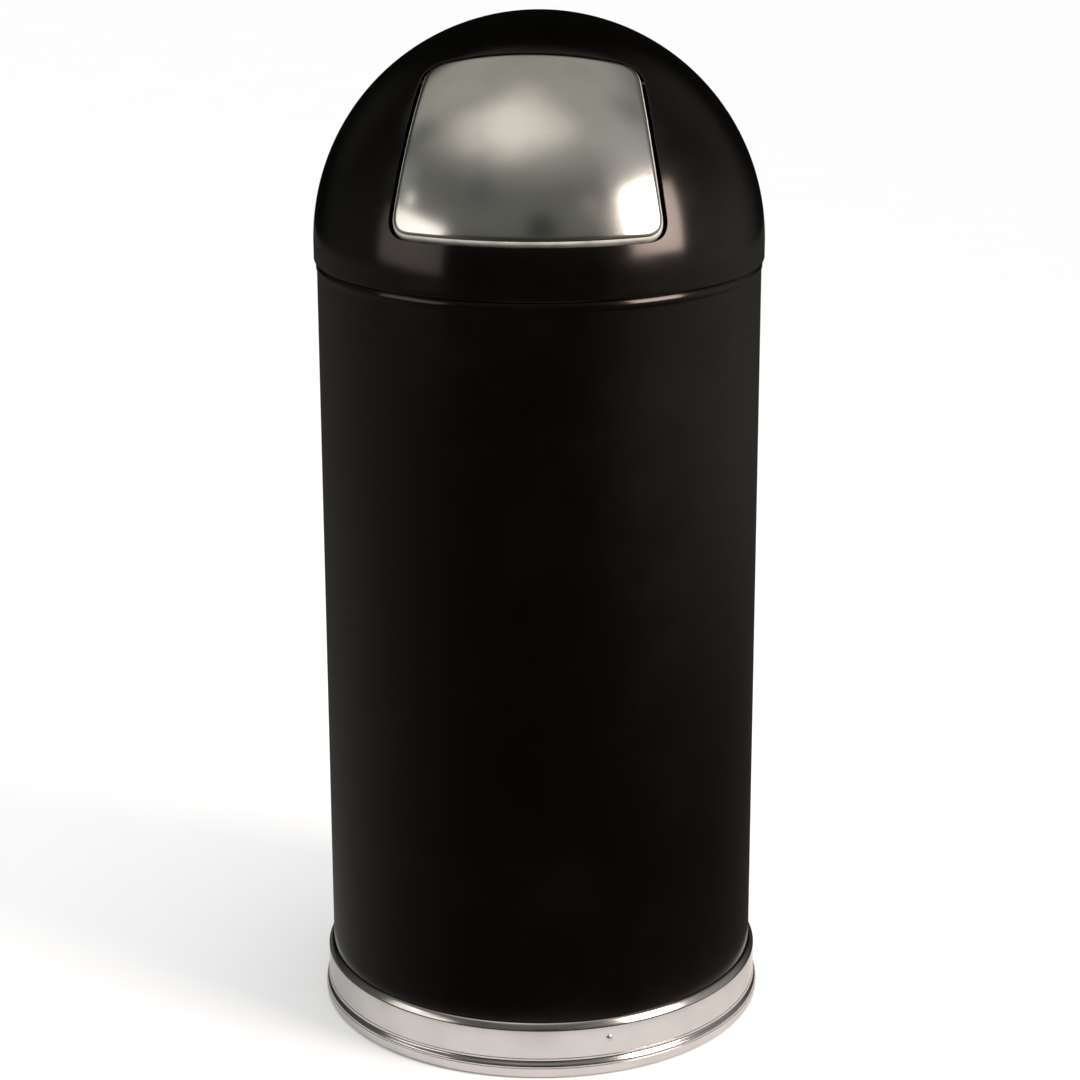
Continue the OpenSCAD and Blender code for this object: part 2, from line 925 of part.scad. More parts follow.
// The part of a tube wall that lies between two values of y, on the +X side
module ear_part(r_in, r_out, y0, y1, z) {
    intersection() {
        translate([0, y0, z])
            cube([body_r, y1 - y0, bail_ear_h]);
        translate([0, 0, z])
            difference() {
                cylinder(h = bail_ear_h, r = r_out);
                translate([0, 0, -1])
                    cylinder(h = bail_ear_h + 2, r = r_in);
            }
    }
}

module bail_ear_left() {
    bail_ear(180);
}

module bail_ear_right() {
    bail_ear(0);
}

module bail_ear_rivets() {
    color(ZINC)
        bail_rivet_places()
            rivet(bail_grip);
}

// A half circle of wire round the back of the rim, with its ends turned in through the ears
module bail_handle() {
    end_in = (liner_r + bridge_in_r) / 2;
    color(ZINC)
        translate([0, 0, bail_z]) {
            rotate_extrude(angle = 180)
                translate([bail_r, 0])
                    circle(bail_wire_r);
            for (side = [0, 180])
                rotate([0, 0, side]) {
                    translate([bail_r, 0, 0])
                        sphere(bail_wire_r);
                    translate([end_in, 0, 0])
                        rotate([0, 90, 0])
                            cylinder(h = bail_r - end_in, r = bail_wire_r);
                }
        }
}

body_shell();
body_floor();
base_trim_ring();
trim_rivets();
floor_guard();
dome_shell();
dome_seat_ring();
hinge_bracket_left();
hinge_bracket_right();
hinge_rod();
rod_clips();
torsion_spring_left();
torsion_spring_right();
door_panel();
door_ear_left();
door_ear_right();
door_stop_tabs();
door_stop_bumpers();
liner_wall();
liner_bottom();
liner_rim_wire();
bail_ear_left();
bail_ear_right();
bail_ear_rivets();
bail_handle();
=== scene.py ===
"""Looks of the dome top waste receptacle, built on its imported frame.

Sizes are in millimetres where a piece is worked out and in metres in Blender. +Z is up, the push door
faces -Y and the origin is on the floor at the centre of the base.
"""

import json
import logging
import math
from dataclasses import dataclass
from enum import Enum
from typing import Any, Callable, Dict, List, Optional, Sequence, Tuple, Union

import bpy
import numpy as np
from mathutils import Matrix, Quaternion, Vector

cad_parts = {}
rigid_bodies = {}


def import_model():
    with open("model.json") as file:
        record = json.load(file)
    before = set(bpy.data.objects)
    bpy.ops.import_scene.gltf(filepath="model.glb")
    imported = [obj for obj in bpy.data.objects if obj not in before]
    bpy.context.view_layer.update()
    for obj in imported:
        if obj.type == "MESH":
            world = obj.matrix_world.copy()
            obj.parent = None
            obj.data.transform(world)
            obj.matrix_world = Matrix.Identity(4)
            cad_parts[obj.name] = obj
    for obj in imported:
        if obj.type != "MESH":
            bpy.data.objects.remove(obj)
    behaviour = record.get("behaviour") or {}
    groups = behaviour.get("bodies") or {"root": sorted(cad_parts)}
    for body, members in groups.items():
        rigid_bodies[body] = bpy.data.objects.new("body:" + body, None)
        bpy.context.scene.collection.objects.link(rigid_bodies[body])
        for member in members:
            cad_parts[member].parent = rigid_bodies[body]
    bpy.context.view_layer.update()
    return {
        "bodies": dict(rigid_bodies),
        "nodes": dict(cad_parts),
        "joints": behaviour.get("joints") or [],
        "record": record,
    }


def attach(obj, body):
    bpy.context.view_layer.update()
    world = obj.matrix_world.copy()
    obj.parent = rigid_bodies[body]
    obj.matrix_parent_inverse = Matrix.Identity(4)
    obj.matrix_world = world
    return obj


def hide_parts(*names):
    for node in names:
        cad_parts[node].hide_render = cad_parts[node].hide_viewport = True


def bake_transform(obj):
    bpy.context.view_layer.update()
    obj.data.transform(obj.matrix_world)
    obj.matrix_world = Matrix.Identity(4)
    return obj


LOG = logging.getLogger("receptacle")
MM = 0.001

BODY_R = 190.5  # the body's outer radius
BODY_SHEET = 0.9
SPRING_Z = 696.0  # height of the dome's centre
DOME_R = 193.0  # the dome's outer radius
DOOR_PROUD = 0.5  # how far the door's face stands out of the dome's

BACK = 0.1  # metres: a face beyond this y lies at the back
WELD = 0.00002  # metres: points nearer than this are merged
FINE_WELD = 0.000002  # the same for lofted skins, whose points lie closer together

Point = Tuple[float, float]
Place = Tuple[float, float, float]
Colour = Tuple[float, float, float]
Sockets = Dict[Union[str, int], Any]


class Slot(Enum):
    """The record's material slots."""

    BLACK_PAINT = "gloss_black_paint"
    ALUMINIUM = "polished_aluminium"
    STAINLESS = "satin_stainless"
    GALVANISED = "galvanised_steel"
    ZINC = "zinc_hardware"
    SPRING = "spring_steel"
    RUBBER = "black_rubber"
    VINYL = "grey_vinyl"


# ---------------------------------------------------------------- shader board


class Value:
    """A number that changes over a surface: a socket that can be added, multiplied and so on."""

    def __init__(self, board: "Board", socket: bpy.types.NodeSocket) -> None:
        """Wraps an output socket of a board."""
        self.board = board
        self.socket = socket

    def _math(self, operation: str, *terms: Union["Value", float]) -> "Value":
        """Adds a Math node of an operation on some terms, and gives its result."""
        node = self.board.node("ShaderNodeMath", {"operation": operation}, dict(enumerate(terms)))
        return Value(self.board, node.outputs[0])

    def __add__(self, other: Union["Value", float]) -> "Value":
        """Sum."""
        return self._math("ADD", self, other)

    def __radd__(self, other: float) -> "Value":
        """Sum with a number on the left."""
        return self._math("ADD", other, self)

    def __sub__(self, other: Union["Value", float]) -> "Value":
        """Difference."""
        return self._math("SUBTRACT", self, other)

    def __rsub__(self, other: float) -> "Value":
        """Difference from a number."""
        return self._math("SUBTRACT", other, self)

    def __mul__(self, other: Union["Value", float]) -> "Value":
        """Product."""
        return self._math("MULTIPLY", self, other)

    def __rmul__(self, other: float) -> "Value":
        """Product with a number on the left."""
        return self._math("MULTIPLY", other, self)

    def __pow__(self, other: float) -> "Value":
        """Power."""
        return self._math("POWER", self, other)

    def between(self, low: float, high: float, kind: str = "SMOOTHSTEP") -> "Value":
        """This value brought from low..high to 0..1 and held there."""
        node = self.board.node(
            "ShaderNodeMapRange",
            {"interpolation_type": kind},
            {"Value": self, "From Min": low, "From Max": high},
        )
        return Value(self.board, node.outputs[0])


class Board:
    """The node tree of one material, with the nodes that the finishes use."""

    def __init__(self, tree: bpy.types.NodeTree) -> None:
        """Starts from an empty tree."""
        self.tree = tree
        tree.nodes.clear()

    @staticmethod
    def with_material(name: str) -> Tuple[bpy.types.Material, "Board"]:
        """A new material of a name, and its board."""
        made = bpy.data.materials.new(name)
        made.use_nodes = True
        return made, Board(made.node_tree)

    def show(self, shader: bpy.types.Node, output: str = "ShaderNodeOutputMaterial") -> None:
        """Leads a shader to the tree's output."""
        self.node(output, sockets={0: shader.outputs[0]})

    def node(
        self,
        kind: str,
        settings: Optional[Dict[str, Any]] = None,
        sockets: Optional[Sockets] = None,
    ) -> bpy.types.Node:
        """Adds a node.

        Args:
            kind: the node's type.
            settings: its own properties, set before its sockets.
            sockets: values or links of its inputs, by name or number.

        Returns:
            The node.
        """
        node = self.tree.nodes.new(kind)
        for name, value in (settings or {}).items():
            setattr(node, name, value)
        for key, value in (sockets or {}).items():
            if isinstance(value, Value):
                self.tree.links.new(value.socket, node.inputs[key])
            elif isinstance(value, bpy.types.NodeSocket):
                self.tree.links.new(value, node.inputs[key])
            else:
                node.inputs[key].default_value = value
        return node

    def place(self) -> bpy.types.NodeSocket:
        """The point on the piece, in metres."""
        return self.node("ShaderNodeTexCoord").outputs["Object"]

    def axes(self) -> Tuple[Value, Value, Value]:
        """The point's X, Y and Z."""
        node = self.node("ShaderNodeSeparateXYZ", sockets={0: self.place()})
        return tuple(Value(self, out) for out in node.outputs)

    def vector(self, x: Any, y: Any, z: Any) -> bpy.types.NodeSocket:
        """A vector from three numbers."""
        return self.node("ShaderNodeCombineXYZ", sockets={0: x, 1: y, 2: z}).outputs[0]

    def noise(self, per_metre: float, detail: float = 2.0, at: Any = None, rough: float = 0.5) -> Value:
        """Soft noise from 0 to 1.

        Args:
            per_metre: how many features lie along a metre.
            detail: how many finer layers it has.
            at: where it is read, or None for the point on the piece.
            rough: how strong the finer layers are.

        Returns:
            The noise.
        """
        node = self.node(
            "ShaderNodeTexNoise",
            sockets={
                "Vector": self.place() if at is None else at,
                "Scale": per_metre,
                "Detail": detail,
                "Roughness": rough,
            },
        )
        return Value(self, node.outputs["Fac"])

    def stretched(self, x: float, y: float, z: float) -> bpy.types.NodeSocket:
        """The point on the piece with each axis multiplied, for lines and streaks."""
        return self.node(
            "ShaderNodeMapping", {"vector_type": "POINT"}, {"Vector": self.place(), "Scale": (x, y, z)}
        ).outputs[0]

    def mix(self, share: Any, first: Any, second: Any) -> bpy.types.NodeSocket:
        """A colour between two.

        Args:
            share: how much of the second it has.
            first: a colour or its socket.
            second: a colour or its socket.

        Returns:
            The colour's socket.
        """
        node = self.node(
            "ShaderNodeMix",
            {"data_type": "RGBA"},
            {0: share, 6: self._colour(first), 7: self._colour(second)},
        )
        return node.outputs[2]

    @staticmethod
    def _colour(colour: Any) -> Any:
        """Four numbers from three, and sockets as they are."""
        return (*colour, 1.0) if isinstance(colour, tuple) and len(colour) == 3 else colour

    def bump(self, height: Value, depth: float, under: Any = None) -> bpy.types.NodeSocket:
        """A surface relief.

        Args:
            height: the relief from 0 to 1.
            depth: its depth in metres.
            under: the relief that it lies on.

        Returns:
            The normal's socket.
        """
        sockets: Sockets = {"Height": height, "Distance": depth, "Strength": 1.0}
        if under is not None:
            sockets["Normal"] = under
        return self.node("ShaderNodeBump", sockets=sockets).outputs[0]


@dataclass(frozen=True)
class Finish:
    """What every finish has: its slot and the fixed values of its shader."""

    slot: Slot
    specular: float = 0.5

    def material(self) -> bpy.types.Material:
        """Makes the material.

        Returns:
            A node material named for its slot.
        """
        made, board = Board.with_material("finish_" + self.slot.value)
        sockets = {"Specular IOR Level": self.specular, **self.dress(board)}
        board.show(board.node("ShaderNodeBsdfPrincipled", sockets=sockets))
        return made

    def dress(self, board: Board) -> Sockets:
        """The shader's inputs, which each finish gives."""
        raise NotImplementedError


@dataclass(frozen=True)
class GlossPaint(Finish):
    """Baked gloss enamel: nearly black and warm, with a fine orange peel and a little dust."""

    body: Colour = (0.0009, 0.0008, 0.0006)
    dusty: Colour = (0.0021, 0.0019, 0.0015)
    warm_gloss: Colour = (1.0, 0.88, 0.82)
    peel_depth: float = 0.0000032

    def dress(self, board: Board) -> Sockets:
        """The shader's inputs."""
        dust = board.noise(9.0, 6.0, rough=0.62).between(0.42, 0.78)
        wear = board.noise(31.0, 3.0).between(0.35, 0.75)
        peel = board.noise(330.0, 1.0)
        wave = board.noise(38.0, 1.0)
        relief = board.bump(peel, self.peel_depth, board.bump(wave, self.peel_depth * 5))
        return {
            "Base Color": board.mix(dust, self.body, self.dusty),
            "Roughness": 0.14 + 0.03 * wear + 0.04 * dust,
            "Specular Tint": (*self.warm_gloss, 1.0),
            "Normal": relief,
        }


@dataclass(frozen=True)
class DrawnAluminium(Finish):
    """Bright trim with fine lines drawn round it."""

    clean: Colour = (0.60, 0.578, 0.558)
    dull: Colour = (0.47, 0.452, 0.436)
    edge: Colour = (0.78, 0.76, 0.745)
    roughness: float = 0.13
    per_metre: float = 5200.0
    line_depth: float = 0.0000012

    def dress(self, board: Board) -> Sockets:
        """The shader's inputs."""
        x, y, z = board.axes()
        radius = (x**2.0 + y**2.0) ** 0.5
        at = board.vector(radius * self.per_metre, z * self.per_metre, x * 9.0)
        lines = board.noise(1.0, 3.0, at=at, rough=0.7)
        cloud = board.noise(24.0, 4.0).between(0.35, 0.8)
        return {
            "Base Color": board.mix(cloud * 0.5 + lines * 0.35, self.clean, self.dull),
            "Metallic": 1.0,
            "Specular Tint": (*self.edge, 1.0),
            "Roughness": self.roughness + 0.05 * lines + 0.05 * cloud,
            "Normal": board.bump(lines, self.line_depth),
        }


@dataclass(frozen=True)
class SatinStainless(Finish):
    """Satin sheet: a close vertical grain, and the slow waves of pressed sheet under it."""

    clean: Colour = (0.66, 0.645, 0.605)
    dull: Colour = (0.57, 0.56, 0.525)
    roughness: float = 0.13
    grain_depth: float = 0.0000012
    wave_depth: float = 0.00022

    def dress(self, board: Board) -> Sockets:
        """The shader's inputs."""
        grain = board.noise(1.0, 4.0, at=board.stretched(3400.0, 60.0, 60.0), rough=0.7)
        cloud = board.noise(17.0, 5.0, rough=0.6).between(0.3, 0.75)
        wave = board.noise(19.0, 1.0)
        return {
            "Base Color": board.mix(cloud * 0.6 + grain * 0.25, self.clean, self.dull),
            "Metallic": 1.0,
            "Roughness": self.roughness + 0.05 * grain + 0.05 * cloud,
            "Normal": board.bump(grain, self.grain_depth, board.bump(wave, self.wave_depth)),
        }


@dataclass(frozen=True)
class DoorSatin(SatinStainless):
    """The push door's satin sheet, with painted light on its rolled edge: a pale, less metallic and rougher
    tone in patches.
    """

    # pale colour of the painted light on the door's rolled edge
    scuff_and_edge_light: Colour = (0.77, 0.757, 0.675)
    centre_z: float = SPRING_Z * MM
    face_r: float = (DOME_R + DOOR_PROUD) * MM
    edge_depth: float = 0.00018

    def dress(self, board: Board) -> Sockets:
        """The shader's inputs."""
        sockets = super().dress(board)
        x, y, z = board.axes()
        out = (x**2.0 + y**2.0 + (z - self.centre_z) ** 2.0) ** 0.5
        # painted light: where the rolled edge falls below the face, it is mixed towards a pale tone, made
        # less metallic and rougher, in noise patches, so it shows lighter than its own reflection makes it
        patch_noise = board.noise(70.0, 4.0).between(0.2, 0.6)
        edge = (self.face_r - out).between(0.00001, self.edge_depth) * (0.65 + 0.35 * patch_noise)
        sockets["Base Color"] = board.mix(edge, sockets["Base Color"], self.scuff_and_edge_light)
        sockets["Metallic"] = 1.0 - 0.6 * edge
        sockets["Roughness"] = sockets["Roughness"] + 0.16 * edge
        return sockets


@dataclass(frozen=True)
class Galvanised(Finish):
    """Hot-dipped zinc with its spangle."""

    light: Colour = (0.66, 0.68, 0.69)
    dark: Colour = (0.47, 0.49, 0.51)
    spangle_depth: float = 0.00001

    def dress(self, board: Board) -> Sockets:
        """The shader's inputs."""
        edge = board.noise(60.0, 3.0)
        cells = board.node(
            "ShaderNodeTexVoronoi",
            {"feature": "F1"},
            {"Vector": board.place(), "Scale": 95.0, "Detail": 1.0, "Randomness": 1.0},
        )
        parts = board.node("ShaderNodeSeparateColor", sockets={0: cells.outputs["Color"]})
        tone = Value(board, parts.outputs[0])
        share = tone * 0.75 + edge * 0.25
        return {
            "Base Color": board.mix(share, self.light, self.dark),
            "Metallic": 1.0,
            "Roughness": 0.34 + 0.16 * tone,
            "Normal": board.bump(share, self.spangle_depth),
        }


@dataclass(frozen=True)
class ZincPlate(Finish):
    """Bright zinc plating with a faint cool and straw cloud."""

    cool: Colour = (0.50, 0.51, 0.53)
    straw: Colour = (0.53, 0.505, 0.44)
    speck_depth: float = 0.000003

    def dress(self, board: Board) -> Sockets:
        """The shader's inputs."""
        cloud = board.noise(70.0, 4.0).between(0.35, 0.7)
        speck = board.noise(900.0, 2.0)
        return {
            "Base Color": board.mix(cloud, self.cool, self.straw),
            "Metallic": 1.0,
            "Roughness": 0.32 + 0.1 * speck + 0.08 * cloud,
            "Normal": board.bump(speck, self.speck_depth),
        }


@dataclass(frozen=True)
class SpringWire(Finish):
    """Drawn, oiled spring steel."""

    bright: Colour = (0.46, 0.455, 0.44)
    oiled: Colour = (0.25, 0.24, 0.225)
    drawn_depth: float = 0.000002

    def dress(self, board: Board) -> Sockets:
        """The shader's inputs."""
        film = board.noise(180.0, 4.0).between(0.35, 0.7)
        drawn = board.noise(1400.0, 2.0)
        return {
            "Base Color": board.mix(film, self.bright, self.oiled),
            "Metallic": 1.0,
            "Roughness": 0.26 + 0.12 * drawn,
            "Normal": board.bump(drawn, self.drawn_depth),
        }


@dataclass(frozen=True)
class Rubber(Finish):
    """Matt moulded rubber with a faint grey bloom."""

    clean: Colour = (0.018, 0.018, 0.018)
    bloomed: Colour = (0.038, 0.037, 0.035)
    pore_depth: float = 0.00001

    def dress(self, board: Board) -> Sockets:
        """The shader's inputs."""
        bloom = board.noise(240.0, 4.0).between(0.4, 0.8)
        pore = board.noise(1500.0, 3.0)
        return {
            "Base Color": board.mix(bloom, self.clean, self.bloomed),
            "Roughness": 0.62 + 0.16 * pore,
            "Normal": board.bump(pore, self.pore_depth),
        }


@dataclass(frozen=True)
class Vinyl(Finish):
    """Milky grey vinyl edging, darker where it is scuffed."""

    milky: Colour = (0.45, 0.445, 0.43)
    scuff_and_edge_light: Colour = (0.30, 0.295, 0.285)
    grain_depth: float = 0.000006

    def dress(self, board: Board) -> Sockets:
        """The shader's inputs."""
        patch_noise = board.noise(120.0, 5.0).between(0.4, 0.75)
        grain = board.noise(1100.0, 2.0)
        return {
            "Base Color": board.mix(patch_noise, self.milky, self.scuff_and_edge_light),
            "Roughness": 0.4 + 0.15 * patch_noise,
            "Normal": board.bump(grain, self.grain_depth),
        }


OWN_FINISHES: Dict[str, Finish] = {"trim_rivets": DrawnAluminium(Slot.ALUMINIUM, roughness=0.3)}

FINISHES: Tuple[Finish, ...] = (
    GlossPaint(Slot.BLACK_PAINT, specular=0.35),
    DrawnAluminium(Slot.ALUMINIUM),
    SatinStainless(Slot.STAINLESS),
    Galvanised(Slot.GALVANISED),
    ZincPlate(Slot.ZINC),
    SpringWire(Slot.SPRING),
    Rubber(Slot.RUBBER, specular=0.3),
    Vinyl(Slot.VINYL),
)


# ---------------------------------------------------------------- workbench


class Bench:
    """The bench on which pieces are made with Blender's own tools."""

    @staticmethod
    def clear() -> None:
        """Leaves edit mode and puts everything out of hand."""
        if bpy.context.object is not None and bpy.context.object.mode != "OBJECT":
            bpy.ops.object.mode_set(mode="OBJECT")
        bpy.ops.object.select_all(action="DESELECT")

    @staticmethod
    def take(piece: bpy.types.Object) -> None:
        """Takes one piece in hand.

        Args:
            piece: the piece that the next tools work on.
        """
        Bench.clear()
        piece.select_set(True)
        bpy.context.view_layer.objects.active = piece

    @staticmethod
    def edit(piece: bpy.types.Object, *steps: Callable[[], Any]) -> None:
        """Runs tools on all of a piece in edit mode.

        Args:
            piece: the piece.
            steps: the tools, in order.
        """
        Bench.take(piece)
        bpy.ops.object.mode_set(mode="EDIT")
        bpy.ops.mesh.select_all(action="SELECT")
        for step in steps:
            step()
        bpy.ops.object.mode_set(mode="OBJECT")

    @staticmethod
    def modify(piece: bpy.types.Object, kind: str, **settings: Any) -> None:
        """Adds a modifier and applies it.

        Args:
            piece: the piece.
            kind: the modifier's type.
            settings: its properties.
        """
        Bench.take(piece)
        modifier = piece.modifiers.new(kind.lower(), kind)
        for name, value in settings.items():
            setattr(modifier, name, value)
        bpy.ops.object.modifier_apply(modifier=modifier.name)

    @staticmethod
    def thicken(piece: bpy.types.Object, sheet: float, offset: float = -1.0) -> None:
        """Gives a skin its sheet's thickness, behind the faces with offset -1 and before them with 1."""
        Bench.modify(piece, "SOLIDIFY", thickness=sheet * MM, offset=offset, use_even_offset=True)

    @staticmethod
    def ease(piece: bpy.types.Object, width: float, segments: int, degrees: float) -> None:
        """Bevels the edges that are sharper than an angle.

        Args:
            piece: the piece.
            width: the bevel's width in millimetres.
            segments: how many faces it has across.
            degrees: the angle.
        """
        Bench.modify(
            piece,
            "BEVEL",
            width=width * MM,
            segments=segments,
            limit_method="ANGLE",
            angle_limit=math.radians(degrees),
            use_clamp_overlap=True,
        )

    @staticmethod
    def loft(name: str, rings: np.ndarray, inwards: bool = False) -> bpy.types.Object:
        """Rolls a grid up into a skin through closed rings of points, and closes its seam and poles.

        Args:
            name: the piece's name.
            rings: points in millimetres, ring by ring, each ring with as many points.
            inwards: whether the rings as given make the faces point inwards.

        Returns:
            The piece.
        """
        rows, columns, _ = rings.shape
        Bench.clear()
        bpy.ops.mesh.primitive_grid_add(x_subdivisions=columns, y_subdivisions=rows - 1, size=1.0)
        piece = bpy.context.object
        piece.name = piece.data.name = name
        flat = np.zeros(len(piece.data.vertices) * 3)
        piece.data.vertices.foreach_get("co", flat)
        flat = flat.reshape(-1, 3)
        column = np.rint((flat[:, 0] + 0.5) * columns).astype(int) % columns
        row = np.rint((flat[:, 1] + 0.5) * (rows - 1)).astype(int)
        piece.data.vertices.foreach_set("co", (rings[row, column] * MM).ravel())
        piece.data.update()
        steps: List[Callable[[], Any]] = [lambda: bpy.ops.mesh.remove_doubles(threshold=FINE_WELD)]
        if inwards:
            steps.append(bpy.ops.mesh.flip_normals)
        Bench.edit(piece, *steps)
        return piece

    @staticmethod
    def turn(name: str, outline: Sequence[Point], steps: int = 288) -> bpy.types.Object:
        """Draws a chain of edges by extruding a point, then spins it round the upright axis.

        Args:
            name: the piece's name.
            outline: radius and height of each point in millimetres, with the outside on its right.
            steps: how many sides the turned piece has.

        Returns:
            The piece.
        """
        Bench.clear()
        bpy.ops.mesh.primitive_plane_add(size=0.001, location=(0, 0, 0))
        piece = bpy.context.object
        piece.name = piece.data.name = name
        bpy.ops.object.mode_set(mode="EDIT")
        bpy.ops.mesh.select_all(action="SELECT")
        bpy.ops.mesh.merge(type="CENTER")
        places = [Vector((r * MM, 0.0, z * MM)) for r, z in outline]
        bpy.ops.transform.translate(value=places[0])
        for last, following in zip(places, places[1:]):
            bpy.ops.mesh.extrude_region_move(TRANSFORM_OT_translate={"value": following - last})
        bpy.ops.mesh.select_all(action="SELECT")
        bpy.ops.mesh.spin(
            steps=steps, angle=math.tau, center=(0, 0, 0), axis=(0, 0, 1), dupli=False, use_auto_merge=False
        )
        bpy.ops.mesh.select_all(action="SELECT")
        bpy.ops.mesh.remove_doubles(threshold=WELD)
        bpy.ops.mesh.normals_make_consistent(inside=False)
        bpy.ops.object.mode_set(mode="OBJECT")
        return piece

    @staticmethod
    def split_back(piece: bpy.types.Object, places: Sequence[float]) -> None:
        """Cuts the back half of a piece along upright planes across X, without parting it.

        Args:
            piece: the piece.
            places: the planes' x in millimetres.
        """
        for x in places:
            Bench.pick(piece, lambda face: face.center.y > BACK)
            bpy.ops.object.mode_set(mode="EDIT")
            bpy.ops.mesh.bisect(plane_co=(x * MM, 0, 0), plane_no=(1, 0, 0))
            bpy.ops.object.mode_set(mode="OBJECT")

    @staticmethod
    def pick(piece: bpy.types.Object, wanted: Callable[[bpy.types.MeshPolygon], bool]) -> None:
        """Selects the faces that a test names, and no others.

        Args:
            piece: the piece.
            wanted: the test.
        """
        Bench.take(piece)
        bpy.ops.object.mode_set(mode="EDIT")
        bpy.ops.mesh.select_mode(type="FACE")
        bpy.ops.mesh.select_all(action="DESELECT")
        bpy.ops.object.mode_set(mode="OBJECT")
        for face in piece.data.polygons:
            face.select = wanted(face)

    @staticmethod
    def extrude(
        piece: bpy.types.Object,
        wanted: Callable[[bpy.types.MeshPolygon], bool],
        by: Place,
    ) -> None:
        """Extrudes the faces that a test names.

        Args:
            piece: the piece.
            wanted: the test.
            by: how far they move, in metres.
        """
        Bench.pick(piece, wanted)
        bpy.ops.object.mode_set(mode="EDIT")
        bpy.ops.mesh.extrude_region_move(TRANSFORM_OT_translate={"value": by})
        bpy.ops.mesh.select_mode(type="VERT")
        bpy.ops.object.mode_set(mode="OBJECT")

    @staticmethod
    def smooth(piece: bpy.types.Object, degrees: float = 32.0) -> None:
        """Shades a piece smooth between edges sharper than an angle."""
        Bench.take(piece)
        bpy.ops.object.shade_smooth_by_angle(angle=math.radians(degrees))


def arc(x: float, y: float, radius: float, start: float, end: float, steps: int) -> List[Point]:
    """Points on an arc round (x, y) from one angle to another in degrees, both ends included."""
    turns = [math.radians(start + (end - start) * i / steps) for i in range(steps + 1)]
    return [(x + radius * math.cos(t), y + radius * math.sin(t)) for t in turns]


def bend(start: Sequence[float], pull: Sequence[float], end: Sequence[float], steps: int) -> np.ndarray:
    """Points on a quadratic curve that is pulled towards a point, both ends included."""
    s = np.linspace(0, 1, steps + 1)[:, None]
    return (1 - s) ** 2 * np.asarray(start) + 2 * s * (1 - s) * np.asarray(pull) + s**2 * np.asarray(end)


# ---------------------------------------------------------------- the dome and its door


@dataclass
class DoorForm:
    """Where the push door and its opening lie, in the pressing direction's own frame.

    x runs across, v up the door and u out along the pressing direction, from the dome's centre.
    """

    spring_z: float = SPRING_Z
    dome_r: float = DOME_R
    tilt: float = 35.7
    low: float = 34.0
    up: float = 83.0
    width: float = 197.6
    taper: float = 9.6
    low_r: float = 18.0
    up_r: float = 20.0
    proud: float = DOOR_PROUD
    dome_sheet: float = 0.9
    door_sheet: float = 1.0
    points: int = 288
    foot_points: int = 60
    corner_steps: int = 40
    tries: int = 8

    @property
    def door_r(self) -> float:
        """Radius of the door's outer face."""
        return self.dome_r + self.proud

    def level(self, x: np.ndarray, z: float) -> np.ndarray:
        """Height up the door of a level edge on the sphere at height z."""
        t = math.radians(self.tilt)
        return z * math.cos(t) - math.sin(t) * np.sqrt(self.door_r**2 - z**2 - x**2)

    def half(self, grow: float, grow_up: float) -> np.ndarray:
        """Right half of the outline, from the middle of the lower edge to that of the upper one.

        Args:
            grow: how far it is grown at the foot and sides.
            grow_up: how far it is grown at the top.

        Returns:
            Points in x and v.
        """
        t, k = math.radians(self.tilt), math.tan(math.radians(self.taper))
        z = self.low - grow
        up_side = np.array([-math.sin(math.radians(self.taper)), math.cos(math.radians(self.taper))])

        def side(v: float) -> float:
            """Half the width at height v."""
            return self.width / 2 + grow / math.cos(math.radians(self.taper)) - v * k

        def slope(x: float) -> float:
            """Slope of the lower edge at x."""
            return math.sin(t) * x / math.sqrt(self.door_r**2 - z**2 - x**2)

        corner = self.width / 2
        for _ in range(self.tries):
            corner = side(float(self.level(np.array(corner), z)))
        turn = math.radians(90) + math.atan(slope(corner)) - math.radians(self.taper)
        low_len = (self.low_r + grow) / math.tan(turn / 2)
        x0 = corner - low_len
        m, v0 = slope(x0), float(self.level(np.array(x0), z))
        cx = (side(0) - k * v0 + k * m * x0) / (1 + k * m)
        c0 = np.array([cx, v0 + m * (cx - x0)])
        up_len = (self.up_r + grow) / math.tan(math.radians(90 + self.taper) / 2)
        c1 = np.array([side(self.up + grow_up), self.up + grow_up])
        foot_x = np.linspace(0, x0, self.foot_points)
        foot = np.stack([foot_x, self.level(foot_x, z)], axis=1)
        parts = [foot, bend(foot[-1], c0, c0 + low_len * up_side, self.corner_steps)[1:]]
        parts.append(bend(c1 - up_len * up_side, c1, c1 - [up_len, 0], self.corner_steps))
        parts.append(np.array([[0.0, self.up + grow_up]]))
        return np.concatenate(parts)

    def outline(self, grow: float = 0.0, grow_up: float = 0.0) -> np.ndarray:
        """The whole outline with its points evenly apart, anticlockwise from the middle of the foot.

        Args:
            grow: how far it is grown at the foot and sides.
            grow_up: how far it is grown at the top.

        Returns:
            Points in x and v.
        """
        right = self.half(grow, grow_up)
        left = right[-2:0:-1] * [-1, 1]
        loop = np.concatenate([right, left, right[:1]])
        along = np.concatenate([[0], np.cumsum(np.linalg.norm(np.diff(loop, axis=0), axis=1))])
        at = np.linspace(0, along[-1], self.points, endpoint=False)
        return np.stack([np.interp(at, along, loop[:, i]) for i in (0, 1)], axis=1)

    def out(self, flat: np.ndarray, radius: float) -> np.ndarray:
        """Points in x, v and u where the outline's points meet a sphere round the dome's centre."""
        u = np.sqrt(radius**2 - (flat**2).sum(axis=1))
        return np.concatenate([flat, u[:, None]], axis=1)

    def to_frame(self, points: np.ndarray) -> np.ndarray:
        """Turns points from x, v and u to the part's frame.

        Args:
            points: any array whose last axis is x, v and u.

        Returns:
            The same points in the part's frame, in millimetres.
        """
        t = math.radians(90 - self.tilt)
        turn = np.array([[1, 0, 0], [0, math.cos(t), -math.sin(t)], [0, math.sin(t), math.cos(t)]])
        return points @ turn.T + np.array([0, 0, self.spring_z])


